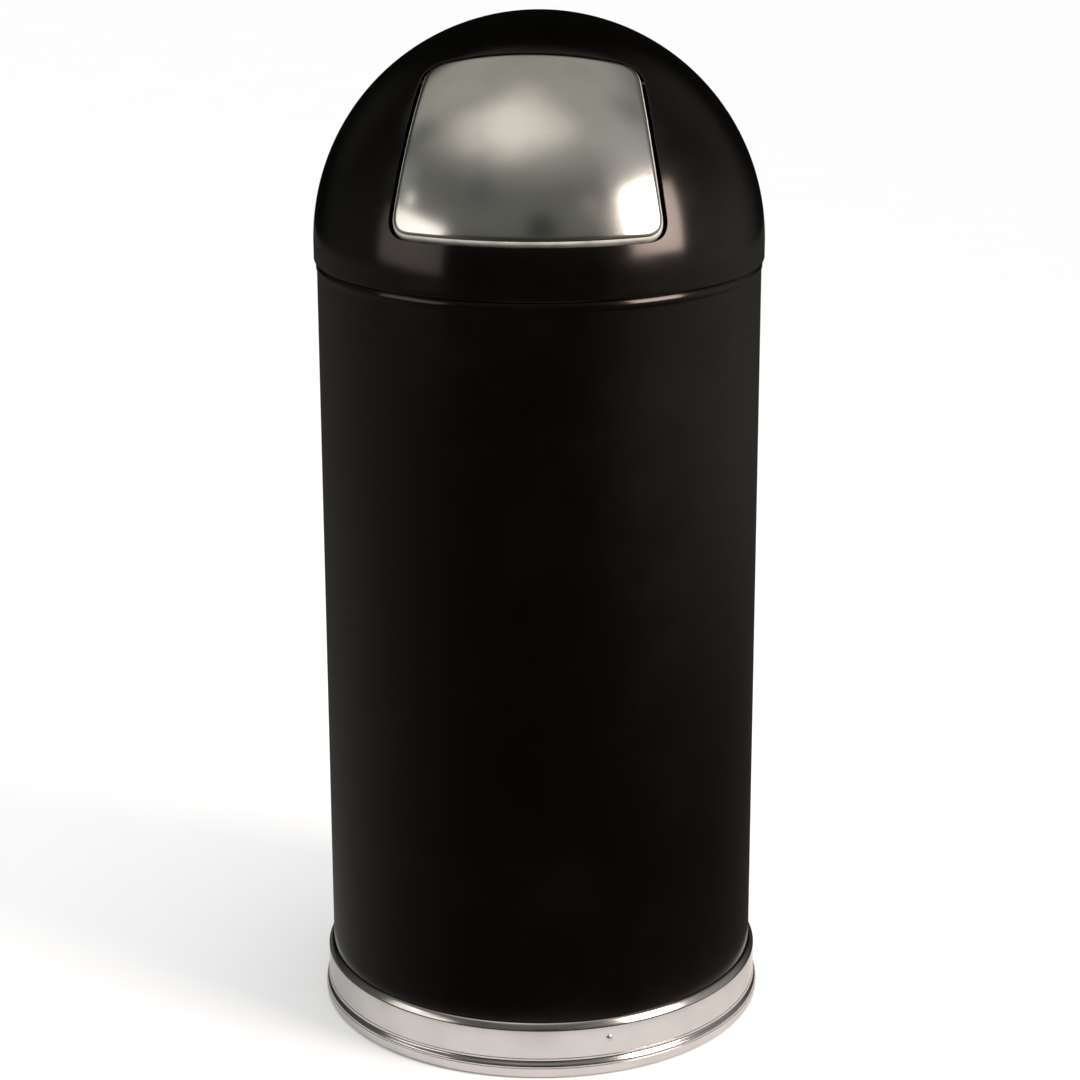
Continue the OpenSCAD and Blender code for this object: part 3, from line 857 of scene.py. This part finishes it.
@dataclass
class Dome:
    """The lift-off half-round top with its punched opening and turned-in edge."""

    form: DoorForm
    gap: float = 4.7
    up_gap: float = 2.0
    skirt: float = 14.6
    skirt_rows: Tuple[float, ...] = (4.0, 8.5)
    hem_r: float = 1.6
    hem_in_r: float = 191.2
    lip_shares: Tuple[float, ...] = (0.0, 0.004, 0.012)
    first_share: float = 0.025
    rows: int = 52
    eased: float = 0.22

    def shell(self) -> bpy.types.Object:
        """Makes the dome's sheet: rings spread from the opening over the sphere to the skirt's edge.

        Returns:
            The piece.
        """
        form, r = self.form, self.form.dome_r
        rim = form.to_frame(form.out(form.outline(self.gap, self.up_gap), r)) - [0, 0, form.spring_z]
        t = math.radians(form.tilt)
        centre = np.array([0, -math.cos(t), math.sin(t)])
        towards = rim / r
        near = np.arccos(np.clip(towards @ centre, -1, 1))
        along = towards - np.cos(near)[:, None] * centre
        along /= np.linalg.norm(along, axis=1)[:, None]
        far = np.arctan2(centre[2], -along[:, 2])
        shares = np.concatenate([self.lip_shares, np.linspace(self.first_share, 1, self.rows)])
        rings = []
        for share in shares:
            a = (near + (far - near) * share)[:, None]
            rings.append(r * (np.cos(a) * centre + np.sin(a) * along))
        flat = rings[-1][:, :2] / np.linalg.norm(rings[-1][:, :2], axis=1)[:, None]
        edge = [(r, -down) for down in self.skirt_rows]
        edge += arc(r - self.hem_r, -self.skirt + self.hem_r, self.hem_r, 0, -90, 6)
        edge.append((self.hem_in_r, -self.skirt))
        for radius, z in edge:
            rings.append(np.concatenate([flat * radius, np.full((len(flat), 1), z)], axis=1))
        skin = Bench.loft("dome_skin", np.array(rings) + [0, 0, form.spring_z], inwards=True)
        Bench.thicken(skin, form.dome_sheet)
        Bench.ease(skin, self.eased, segments=2, degrees=55)
        Bench.smooth(skin, degrees=40)
        return skin


@dataclass
class PushDoor:
    """The satin push door: a round face, an edge rolled over and a flange turned in."""

    form: DoorForm
    flange: float = 8.0
    flange_shares: Tuple[float, ...] = (0.0, 0.72, 1.0)
    edge_r: float = 3.4
    edge_room: float = 1.4
    edge_rows: int = 6
    rows: int = 22

    def panel(self) -> bpy.types.Object:
        """Makes the door: rings spread from its middle to its edge and down its flange.

        Returns:
            The piece.
        """
        form = self.form
        edge = form.outline()
        inner = form.outline(-self.edge_r - self.edge_room, -self.edge_r - self.edge_room)
        middle = np.array([0.0, (inner[:, 1].max() + inner[:, 1].min()) / 2])
        rings = []
        for share in np.linspace(0, 1, self.rows):
            rings.append(form.out(middle + (inner - middle) * share, form.door_r))
        start = form.out(edge, form.door_r)
        end = form.out(edge, form.door_r - self.flange)
        rings += [start + (end - start) * share for share in self.flange_shares]
        skin = Bench.loft("door_skin", form.to_frame(np.array(rings)))
        Bench.ease(skin, self.edge_r, self.edge_rows, degrees=38)
        Bench.thicken(skin, form.door_sheet)
        Bench.smooth(skin, degrees=40)
        return skin


@dataclass
class DoorSprings:
    """The pair of torsion springs on the hinge rod."""

    form: DoorForm
    hinge_v: float = 74.0
    hinge_u: float = 141.354
    wire_r: float = 0.8
    coil_r: float = 5.0
    turns: int = 6
    gap: float = 0.55
    ear_x: float = 75.976
    ear_t: float = 1.6
    to_door: float = -137.0
    to_dome: float = -67.0
    rest: float = 1.1
    straight: float = 1.2
    nose_r: float = 0.72
    nose_in: float = 0.25
    sides: int = 10
    per_turn: int = 28

    @property
    def pitch(self) -> float:
        """Advance of a coil along the rod."""
        return 2 * self.wire_r + self.gap

    @property
    def first_x(self) -> float:
        """Where the coils begin, at the door's leg."""
        return self.ear_x - self.ear_t / 2 - self.wire_r - self.gap - self.turns * self.pitch

    @property
    def sweep(self) -> float:
        """Angle through which the coils wind."""
        return self.turns * 360 + self.to_dome - self.to_door

    @property
    def last_x(self) -> float:
        """Where the coils end, at the dome's leg."""
        return self.first_x + self.sweep / 360 * self.pitch

    def leg(self, start: np.ndarray, way: np.ndarray, radius: float) -> np.ndarray:
        """End of a leg that leaves the coils and stops at a sphere.

        Args:
            start: where the leg begins.
            way: its direction.
            radius: the sphere's radius.

        Returns:
            The leg's last point.
        """
        b = start[1:] @ way[1:]
        c = start @ start - radius**2
        return start + way * (-b + math.sqrt(b * b - c))

    def path(self) -> np.ndarray:
        """The wire's middle line, in x, v and u."""
        steps = math.ceil(self.sweep / 360 * self.per_turn)
        a = np.radians(self.to_door + self.sweep * np.arange(steps + 1) / steps)
        x = np.linspace(self.first_x, self.last_x, steps + 1)
        coil = np.stack(
            [x, self.hinge_v + self.coil_r * np.cos(a), self.hinge_u + self.coil_r * np.sin(a)], axis=1
        )
        door_way = np.array([0, math.sin(a[0]), -math.cos(a[0])])
        dome_way = np.array([0, -math.sin(a[-1]), math.cos(a[-1])])
        form = self.form
        door_end = self.leg(coil[0], door_way, form.door_r - form.door_sheet - self.rest)
        dome_end = self.leg(coil[-1], dome_way, form.dome_r - form.dome_sheet - self.rest)
        before = [door_end, (door_end + coil[0]) / 2, coil[0] + self.straight * door_way]
        after = [coil[-1] + self.straight * dome_way, (dome_end + coil[-1]) / 2, dome_end]
        return np.concatenate([before, coil, after])

    def wire(self, side: int) -> bpy.types.Object:
        """Makes one spring.

        Args:
            side: 1 on +X and -1 on -X.

        Returns:
            The piece.
        """
        path = self.path()
        along = np.gradient(path, axis=0)
        along /= np.linalg.norm(along, axis=1)[:, None]
        across = np.array([1.0, 0, 0]) - along[:, :1] * along
        across /= np.linalg.norm(across, axis=1)[:, None]
        other = np.cross(along, across)
        turns = np.radians(360 * np.arange(self.sides) / self.sides)[None, :, None]
        spokes = np.cos(turns) * across[:, None, :] + np.sin(turns) * other[:, None, :]
        radii = np.array([0.0, self.nose_r, 1.0]) * self.wire_r
        middle, tip, full = (path[:, None, :] + radius * spokes for radius in radii)
        nose = self.nose_in * self.wire_r * along
        full[0] += nose[0]
        full[-1] -= nose[-1]
        skin = np.concatenate([middle[:1], tip[:1], full, tip[-1:], middle[-1:]])
        if side < 0:
            skin = skin * [-1, 1, 1]
        name = "spring_wire_right" if side > 0 else "spring_wire_left"
        piece = Bench.loft(name, self.form.to_frame(skin))
        Bench.edit(piece, lambda: bpy.ops.mesh.normals_make_consistent(inside=False))
        Bench.smooth(piece, degrees=50)
        return piece

    def twist(self, piece: bpy.types.Object, side: int) -> None:
        """Works out the ends of the coils on the rod, unused, and bakes the spring's placement into its mesh;
        the coils do not follow the door's turn.

        Args:
            piece: the spring.
            side: 1 on +X and -1 on -X.
        """
        ends = self.form.to_frame(
            np.array([[side * x, self.hinge_v, self.hinge_u] for x in (self.last_x, self.first_x)])
        )
        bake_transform(piece)


# ---------------------------------------------------------------- the body


@dataclass
class Body:
    """The tall round sheet body with its rolled rim bead and its lap at the back."""

    wall_r: float = BODY_R - BODY_SHEET
    sheet: float = BODY_SHEET
    low: float = 1.7
    rim_top: float = 682.3
    bead_out: float = 0.8
    bead_r: float = 7.5
    bead_low: float = -24.0
    bead_turn: float = 38.0
    bead_steps: int = 14
    roll: float = 1.65
    roll_end: float = 285.0
    roll_steps: int = 30
    crease: float = 672.6
    lap_top: float = 670.8
    ring_top: float = 50.2
    lap: float = 14.0
    groove_w: float = 0.6
    groove_d: float = 0.3

    def outline(self) -> List[Point]:
        """The sheet's inner face from its lower edge round the bead, as radius and height."""
        reach, turn = self.bead_r - self.roll, math.radians(self.bead_turn)
        roll_z = self.rim_top - self.sheet - self.roll
        bead_x, bead_z = self.wall_r + self.bead_out - self.bead_r, roll_z - reach * math.sin(turn)
        roll_x = bead_x + reach * math.cos(turn)
        points: List[Point] = [(self.wall_r, z) for z in (self.low, self.ring_top, self.lap_top, self.crease)]
        points += arc(bead_x, bead_z, self.bead_r, self.bead_low, self.bead_turn, self.bead_steps)
        return points + arc(roll_x, roll_z, self.roll, self.bead_turn, self.roll_end, self.roll_steps)[1:]

    def shell(self) -> bpy.types.Object:
        """Makes the body: its outline spun, given the sheet's thickness, and its lap set in.

        Returns:
            The piece.
        """
        skin = Bench.turn("body_skin", self.outline())
        Bench.thicken(skin, self.sheet, offset=1.0)
        half = self.lap / 2
        Bench.split_back(skin, [-half, half - self.groove_w, half])
        self.push(skin, half - self.groove_w, half, True, -self.groove_d)
        self.push(skin, -half, half, False, -self.sheet)
        Bench.smooth(skin, degrees=34)
        return skin

    def push(self, skin: bpy.types.Object, left: float, right: float, outside: bool, by: float) -> None:
        """Extrudes an upright strip of the wall at the back.

        Args:
            skin: the body.
            left: the strip's lower x in millimetres.
            right: its higher x.
            outside: whether it lies on the wall's outer face.
            by: how far it moves along +Y, in millimetres.
        """
        low, high = self.ring_top * MM, self.lap_top * MM
        facing = 1.0 if outside else -1.0

        def inside_strip(face: bpy.types.MeshPolygon) -> bool:
            """Whether a face lies in the strip."""
            x, y, z = face.center
            within = left * MM < x < right * MM and y > BACK and low < z < high
            return within and face.normal.y * facing > 0.5

        Bench.extrude(skin, inside_strip, (0, by * MM, 0))


# ---------------------------------------------------------------- the trim ring


@dataclass
class TrimRing:
    """The bright ring round the base: lip, shoulder, band, fine bead, second shoulder and rolled foot.

    foot_line and bead_line are the fine lines over the foot and the bead, point by point: the share of
    the groove's depth and the height in millimetres. lip_edge gives how far outside the lip and how far
    under the ring's top each point of its rounded edge lies. The inner sizes place the inner face.
    """

    body_r: float = BODY_R
    body_sheet: float = BODY_SHEET
    sheet: float = 0.8
    height: float = 49.9
    band_out: float = 4.7
    foot_out: float = 7.7
    foot_top: float = 9.9
    foot_roll: float = 3.2
    foot_in: float = 5.12
    foot_steps: int = 12
    shoulder: float = 5.9
    shoulder_start: float = 0.4
    shoulder_lead: float = 1.0
    shoulder_steps: int = 8
    low_shoulder: float = 6.7
    low_inset: float = 0.15
    low_start: float = 0.6
    ogee_lead: float = 1.6
    bead: float = 1.0
    bead_out: float = 0.05
    groove: float = 0.35
    foot_line: Tuple[Point, ...] = ((0.0, -0.3), (1.0, 0.0), (1.0, 0.3))
    bead_line: Tuple[Point, ...] = ((1.0, 0.15), (1.0, 0.4), (0.0, 0.6), (0.0, 1.1))
    lip_edge: Tuple[Point, ...] = ((1.0, 0.9), (0.5, 0.4), (0.1, 0.08), (-0.2, 0.0))
    inner_lip: float = 0.7
    inner_band_up: float = 0.5
    inner_bead_down: float = 0.6
    inner_foot_up: float = 0.4
    inner_steps: int = 8
    guard: float = 0.6
    fit: float = 0.1
    eased: float = 0.1

    def outer(self) -> List[Point]:
        """The ring's outer face from its lower edge to its lip, as radius and height."""
        lip = self.body_r + self.fit + self.sheet
        band, foot, roll = self.body_r + self.band_out, self.body_r + self.foot_out, self.foot_roll
        low, top, bead = self.guard, self.foot_top, self.body_r + self.band_out + self.bead_out
        bead_z, band_z = top + self.low_shoulder, self.height - self.shoulder
        edge = [(lip + out, self.height - down) for out, down in self.lip_edge]
        points: List[Point] = [(self.body_r - self.body_sheet, low), (foot - self.foot_in, low)]
        points += arc(foot - roll, low + roll, roll, -90, 0, self.foot_steps)
        points.append((foot, (low + roll + top) / 2))
        points += [(foot - self.groove * share, top + up) for share, up in self.foot_line]
        points += self.ogee((foot - self.low_inset, top + self.low_start), (bead, bead_z))
        points.append((bead, bead_z + self.bead))
        points += [(band - self.groove * share, bead_z + self.bead + up) for share, up in self.bead_line]
        points += [(band, (bead_z + band_z) / 2), (band, band_z - self.shoulder_start)]
        curve = bend((band, band_z), (band, band_z + self.shoulder_lead), edge[0], self.shoulder_steps)
        return points + [tuple(p) for p in curve] + edge[1:]

    def inner(self) -> List[Point]:
        """The ring's inner face from its lip to its lower edge, as radius and height."""
        wall, roll, sheet = self.body_r + self.fit, self.foot_roll, self.sheet
        band, foot = self.body_r + self.band_out - sheet, self.body_r + self.foot_out - sheet
        band_z, top = self.height - self.shoulder, self.foot_top
        points: List[Point] = [(wall, self.height), (wall, self.height - self.inner_lip)]
        points.append((band, band_z + self.inner_band_up))
        points.append((band, top + self.low_shoulder - self.inner_bead_down))
        points += [(foot, top + self.inner_foot_up), (foot, self.guard + roll)]
        points += arc(foot + sheet - roll, self.guard + roll, roll - sheet, 0, -90, self.inner_steps)[1:]
        return points + [(self.body_r - self.body_sheet, self.guard + sheet)]

    def ogee(self, start: Point, end: Point) -> List[Point]:
        """A shoulder that leaves both ends upright and lies over in the middle.

        Args:
            start: its lower end.
            end: its higher end.

        Returns:
            Its points.
        """
        (x0, z0), (x1, z1) = start, end
        lead, middle = self.ogee_lead, ((x0 + x1) / 2, (z0 + z1) / 2)
        halves = [bend(start, (x0, z0 + lead), middle, 6), bend(middle, (x1, z1 - lead), end, 6)[1:]]
        return [tuple(p) for p in np.concatenate(halves)]

    def ring(self) -> bpy.types.Object:
        """Makes the ring: its closed outline spun round the body, with its fine edges eased.

        Returns:
            The piece.
        """
        outer = self.outer()
        skin = Bench.turn("trim_ring_skin", [*outer, *self.inner(), outer[0]])
        Bench.ease(skin, self.eased, segments=2, degrees=38)
        Bench.smooth(skin, degrees=34)
        return skin


# ---------------------------------------------------------------- studio


def way_to(azimuth: float, elevation: float) -> Vector:
    """A direction, one long, by its degrees from the front towards +X and above level."""
    a, e = math.radians(azimuth), math.radians(elevation)
    return Vector((math.sin(a) * math.cos(e), -math.cos(a) * math.cos(e), math.sin(e)))


@dataclass(frozen=True)
class Glow:
    """A soft round patch of the room, placed as the dome sees it, in degrees."""

    azimuth: float
    elevation: float
    core: float
    reach: float
    colour: Colour

    def share(self, axes: Sequence[Value]) -> Value:
        """How much of the patch's colour a point of the room has.

        Args:
            axes: the point's direction, one long.

        Returns:
            The share from 0 to 1.
        """
        way = way_to(self.azimuth, self.elevation)
        towards = axes[0] * way.x + axes[1] * way.y + axes[2] * way.z
        ends = [math.cos(math.radians(angle)) for angle in (self.reach, self.core)]
        return towards.between(*ends, "LINEAR") ** 2.0


ROOM_GLOWS: Tuple[Glow, ...] = (
    Glow(92, -4, 8, 62, (0.42, 0.41, 0.40)),
    Glow(-92, -8, 5, 52, (0.12, 0.12, 0.11)),
    Glow(66, 38, 4, 26, (0.45, 0.45, 0.44)),
    Glow(-78, 25, 2, 14, (0.35, 0.36, 0.34)),
    Glow(-30, 83, 4, 12, (0.62, 0.60, 0.55)),
    Glow(-55, 57, 4, 17, (0.75, 0.72, 0.67)),
    Glow(15, 66, 5, 17, (0.82, 0.79, 0.72)),
    Glow(-23, 65, 8, 25, (1.0, 0.955, 0.885)),
    Glow(-30, 30, 2, 12, (0.11, 0.115, 0.12)),
    Glow(5, 15, 5, 12, (0.05, 0.055, 0.05)),
    Glow(95, 56, 3, 12, (0.27, 0.275, 0.27)),
    Glow(122, 34, 12, 34, (0.14, 0.138, 0.13)),
    Glow(-125, 22, 8, 28, (0.055, 0.054, 0.05)),
    Glow(-85, 42, 3, 10, (0.17, 0.18, 0.165)),
    Glow(31, 25, 2, 8, (0.27, 0.27, 0.26)),
    Glow(-67.5, 19.6, 1.5, 5.0, (1.7, 1.8, 1.6)),
)


@dataclass(frozen=True)
class Softbox:
    """One soft rectangular lamp, placed by where it stands as seen from the dome."""

    name: str
    azimuth: float
    elevation: float
    distance: float
    width: float
    height: float
    turn: float
    level: float
    spread: float
    colour: Colour

    def hang(self, target: Vector) -> None:
        """Hangs the lamp and turns it to the dome.

        Args:
            target: the point that it faces.
        """
        way = way_to(self.azimuth, self.elevation)
        bpy.ops.object.light_add(type="AREA", location=target + way * self.distance)
        lamp = bpy.context.object
        lamp.name = self.name
        lamp.data.shape = "RECTANGLE"
        lamp.data.size, lamp.data.size_y = self.width, self.height
        lamp.data.energy = self.level * math.pi * self.width * self.height
        lamp.data.color = self.colour
        lamp.data.spread = math.radians(self.spread)
        turn = Quaternion((0, 0, 1), math.radians(self.turn))
        lamp.rotation_euler = (way.to_track_quat("Z", "Y") @ turn).to_euler()


LAMPS: Tuple[Softbox, ...] = (
    Softbox(
        name="lamp_right",
        azimuth=63.2,
        elevation=13.5,
        distance=2.1,
        width=1.06,
        height=1.04,
        turn=-2.6,
        level=5.0,
        spread=100,
        colour=(1.0, 0.87, 0.80),
    ),
    Softbox(
        name="lamp_left",
        azimuth=-61.2,
        elevation=3.5,
        distance=2.1,
        width=1.386,
        height=0.805,
        turn=-4.7,
        level=0.64,
        spread=110,
        colour=(1.0, 0.94, 0.90),
    ),
)


@dataclass
class Studio:
    """Camera, pale floor, soft lamps and the dark cards that shape the gloss."""

    camera_place: Place = (0.1474, -2.4104, 1.1673)
    camera_turn: Tuple[float, float, float] = (3.5, 17.076, -0.173)
    lens: float = 95.19
    plain_level: float = 1.03
    dome_centre: Place = (0.0, 0.0, SPRING_Z * MM)
    floor_r: float = 40.0
    room_r: float = 4.2
    card_in_r: float = 0.255
    card_in_place: Place = (0.002, -0.032, 0.0004)
    card_out: float = 0.05
    floor_dark: Colour = (0.040, 0.036, 0.028)
    floor_left: Colour = (0.19, 0.185, 0.165)
    floor_near: Colour = (0.07, 0.066, 0.056)
    floor_far: Colour = (0.34, 0.325, 0.30)
    ceiling: Colour = (0.43, 0.42, 0.39)
    wall_high: Colour = (0.15, 0.152, 0.142)
    wall_low: Colour = (0.045, 0.042, 0.034)
    wall_back: Colour = (0.005, 0.005, 0.004)
    haze: Colour = (0.02, 0.02, 0.02)

    def camera(self) -> None:
        """Sets the camera where the photograph was taken from."""
        yaw, down, roll = self.camera_turn
        bpy.ops.object.camera_add()
        camera = bpy.context.object
        camera.name = "camera"
        camera.data.lens = self.lens
        camera.data.sensor_width = 36.0
        camera.data.clip_end = 200.0
        camera.matrix_world = (
            Matrix.Translation(self.camera_place)
            @ Matrix.Rotation(math.radians(yaw), 4, "Z")
            @ Matrix.Rotation(math.radians(90 - down), 4, "X")
            @ Matrix.Rotation(math.radians(roll), 4, "Z")
        )
        bpy.context.scene.camera = camera

    def world(self) -> None:
        """Lights the scene plainly, and shows white to the eye, to gloss and through glass."""
        world = bpy.data.worlds.new("studio_world")
        bpy.context.scene.world = world
        world.use_nodes = True
        board = Board(world.node_tree)
        rays = board.node("ShaderNodeLightPath")
        eye, gloss, through = (
            Value(board, rays.outputs[kind])
            for kind in ("Is Camera Ray", "Is Glossy Ray", "Is Transmission Ray")
        )
        plain, white = (
            board.node("ShaderNodeBackground", sockets={"Color": (level, level, level, 1), "Strength": 1.0})
            for level in (self.plain_level, 1.0)
        )
        sockets = {0: eye + gloss + through, 1: plain.outputs[0], 2: white.outputs[0]}
        board.show(board.node("ShaderNodeMixShader", sockets=sockets), "ShaderNodeOutputWorld")

    def floor(self) -> None:
        """Lays the pale floor."""
        Bench.clear()
        bpy.ops.mesh.primitive_circle_add(
            vertices=96, radius=self.floor_r, fill_type="NGON", location=(0, 0, 0)
        )
        floor = bpy.context.object
        floor.name = "floor"
        paper, board = Board.with_material("floor_paper")
        grain = board.noise(6.0, 3.0)
        shader = board.node(
            "ShaderNodeBsdfPrincipled",
            sockets={
                "Base Color": board.mix(grain, (0.95, 0.95, 0.95), (0.965, 0.965, 0.965)),
                "Roughness": 0.9,
                "Specular IOR Level": 0.0,
            },
        )
        board.show(shader)
        floor.data.materials.append(paper)

    def lamps(self) -> None:
        """Hangs the soft lamps whose reflections stand beside the door."""
        for lamp in LAMPS:
            lamp.hang(Vector(self.dome_centre))

    def card(self, name: str, piece: bpy.types.Object, colour: Callable[[Board], Any]) -> None:
        """Makes a card that only gloss sees.

        Args:
            name: its name.
            piece: its mesh.
            colour: gives its colour on a board.
        """
        piece.name = name
        face, board = Board.with_material(name + "_face")
        board.show(board.node("ShaderNodeEmission", sockets={"Color": colour(board), "Strength": 1.0}))
        piece.data.materials.clear()
        piece.data.materials.append(face)
        piece.visible_camera = piece.visible_diffuse = piece.visible_shadow = False
        piece.visible_transmission = piece.visible_volume_scatter = False

    def cards(self) -> None:
        """Sets a dark card on the floor round the base, and dark walls with a soft ceiling.

        The hole in the floor card reaches as far as the bright ring's reflection and no further, so that
        the paint above the ring stays dark.
        """
        Bench.clear()
        place = self.card_in_place
        bpy.ops.mesh.primitive_circle_add(vertices=128, radius=self.card_in_r, location=place)
        ring = bpy.context.object
        share = (self.room_r - self.card_out) / self.card_in_r
        bpy.ops.object.mode_set(mode="EDIT")
        bpy.ops.mesh.select_all(action="SELECT")
        bpy.ops.mesh.extrude_region_move()
        bpy.ops.transform.resize(value=(share, share, 1), center_override=place)
        bpy.ops.object.mode_set(mode="OBJECT")
        bpy.ops.object.transform_apply(location=True, rotation=False, scale=False)
        self.card("floor_card", ring, self.floor_tone)
        Bench.clear()
        bpy.ops.mesh.primitive_uv_sphere_add(
            segments=96, ring_count=48, radius=self.room_r, location=self.dome_centre
        )
        self.card("room_card", bpy.context.object, self.room_tone)

    def floor_tone(self, board: Board) -> bpy.types.NodeSocket:
        """Dark floor that is lighter on both sides, and on the right more so further off."""
        x, y, _ = board.axes()
        away = (x**2.0 + y**2.0) ** 0.5
        side = (x**2.0 * away**-2.0) ** 1.5
        right = board.mix(away.between(0.5, 2.4), self.floor_near, self.floor_far)
        sides = board.mix((x * away**-1.0).between(-0.3, 0.3), self.floor_left, right)
        return board.mix(side, self.floor_dark, sides)

    def room_tone(self, board: Board) -> bpy.types.NodeSocket:
        """Dark walls under a grey ceiling, with the patches of light and shade that gloss shows."""
        axes = [axis * (1.0 / self.room_r) for axis in board.axes()]
        up = axes[2]
        low = board.mix(up.between(-0.05, 0.3), self.wall_low, self.wall_high)
        front = board.mix(up.between(0.5, 0.86), low, self.ceiling)
        rise = up + (axes[0] * up) ** 2.0 * 1.3
        back = board.mix(rise.between(0.855, 0.94), self.wall_back, self.ceiling)
        tone = board.mix((axes[1] * -1.0).between(-0.5, 0.35), back, front)
        for glow in ROOM_GLOWS:
            tone = board.mix(glow.share(axes), tone, glow.colour)
        cloud = board.noise(0.8, 3.0).between(0.45, 0.75)
        return board.mix(cloud * 0.16, tone, self.haze)

    def build(self) -> None:
        """Sets everything up."""
        self.camera()
        self.world()
        self.floor()
        self.lamps()
        self.cards()


# ---------------------------------------------------------------- the whole


@dataclass
class Receptacle:
    """Dresses the frame's own nodes and adds the pieces that replace some of them."""

    frame: Dict[str, Any]
    materials: Dict[Slot, bpy.types.Material]

    def dress_nodes(self) -> None:
        """Gives each CAD node its finish by the slot that it has in the record."""
        for name, node in sorted(self.frame["nodes"].items()):
            own = OWN_FINISHES[name].material() if name in OWN_FINISHES else None
            for holder in node.material_slots:
                slot = Slot(holder.material.name.split(".")[0])
                holder.material = own or self.materials[slot]
            LOG.info("dressed %s", name)

    def add(
        self,
        piece: bpy.types.Object,
        slot: Slot,
        body: str,
        node: str,
        finish: Optional[Finish] = None,
    ) -> None:
        """Finishes a new piece that stands for a node.

        Args:
            piece: the new piece.
            slot: the record's slot that it takes its finish from.
            body: the body that it rides on, or "" where it is left on no body.
            node: the node that it replaces.
            finish: its own finish, where the slot's common one lacks something.
        """
        piece.data.materials.clear()
        piece.data.materials.append(finish.material() if finish else self.materials[slot])
        if body:
            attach(piece, body)
        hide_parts(node)
        LOG.info("made %s for %s, %d faces", piece.name, node, len(piece.data.polygons))

    def build(self) -> None:
        """Builds the piece classes in order."""
        form = DoorForm()
        self.add(Body().shell(), Slot.BLACK_PAINT, "can", "body_shell")
        self.add(TrimRing().ring(), Slot.ALUMINIUM, "can", "base_trim_ring")
        self.add(Dome(form).shell(), Slot.BLACK_PAINT, "dome", "dome_shell")
        self.add(PushDoor(form).panel(), Slot.STAINLESS, "door", "door_panel", DoorSatin(Slot.STAINLESS))
        springs = DoorSprings(form)
        for side, node in ((-1, "torsion_spring_left"), (1, "torsion_spring_right")):
            wire = springs.wire(side)
            springs.twist(wire, side)
            self.add(wire, Slot.SPRING, "", node)


def main() -> None:
    """Loads the frame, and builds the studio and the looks."""
    logging.basicConfig(level=logging.INFO, format="%(name)s: %(message)s")
    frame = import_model()
    scene = bpy.context.scene
    scene.view_settings.view_transform = "Standard"
    Studio().build()
    materials = {finish.slot: finish.material() for finish in FINISHES}
    receptacle = Receptacle(frame, materials)
    receptacle.dress_nodes()
    receptacle.build()


if __name__ == "__main__":
    main()
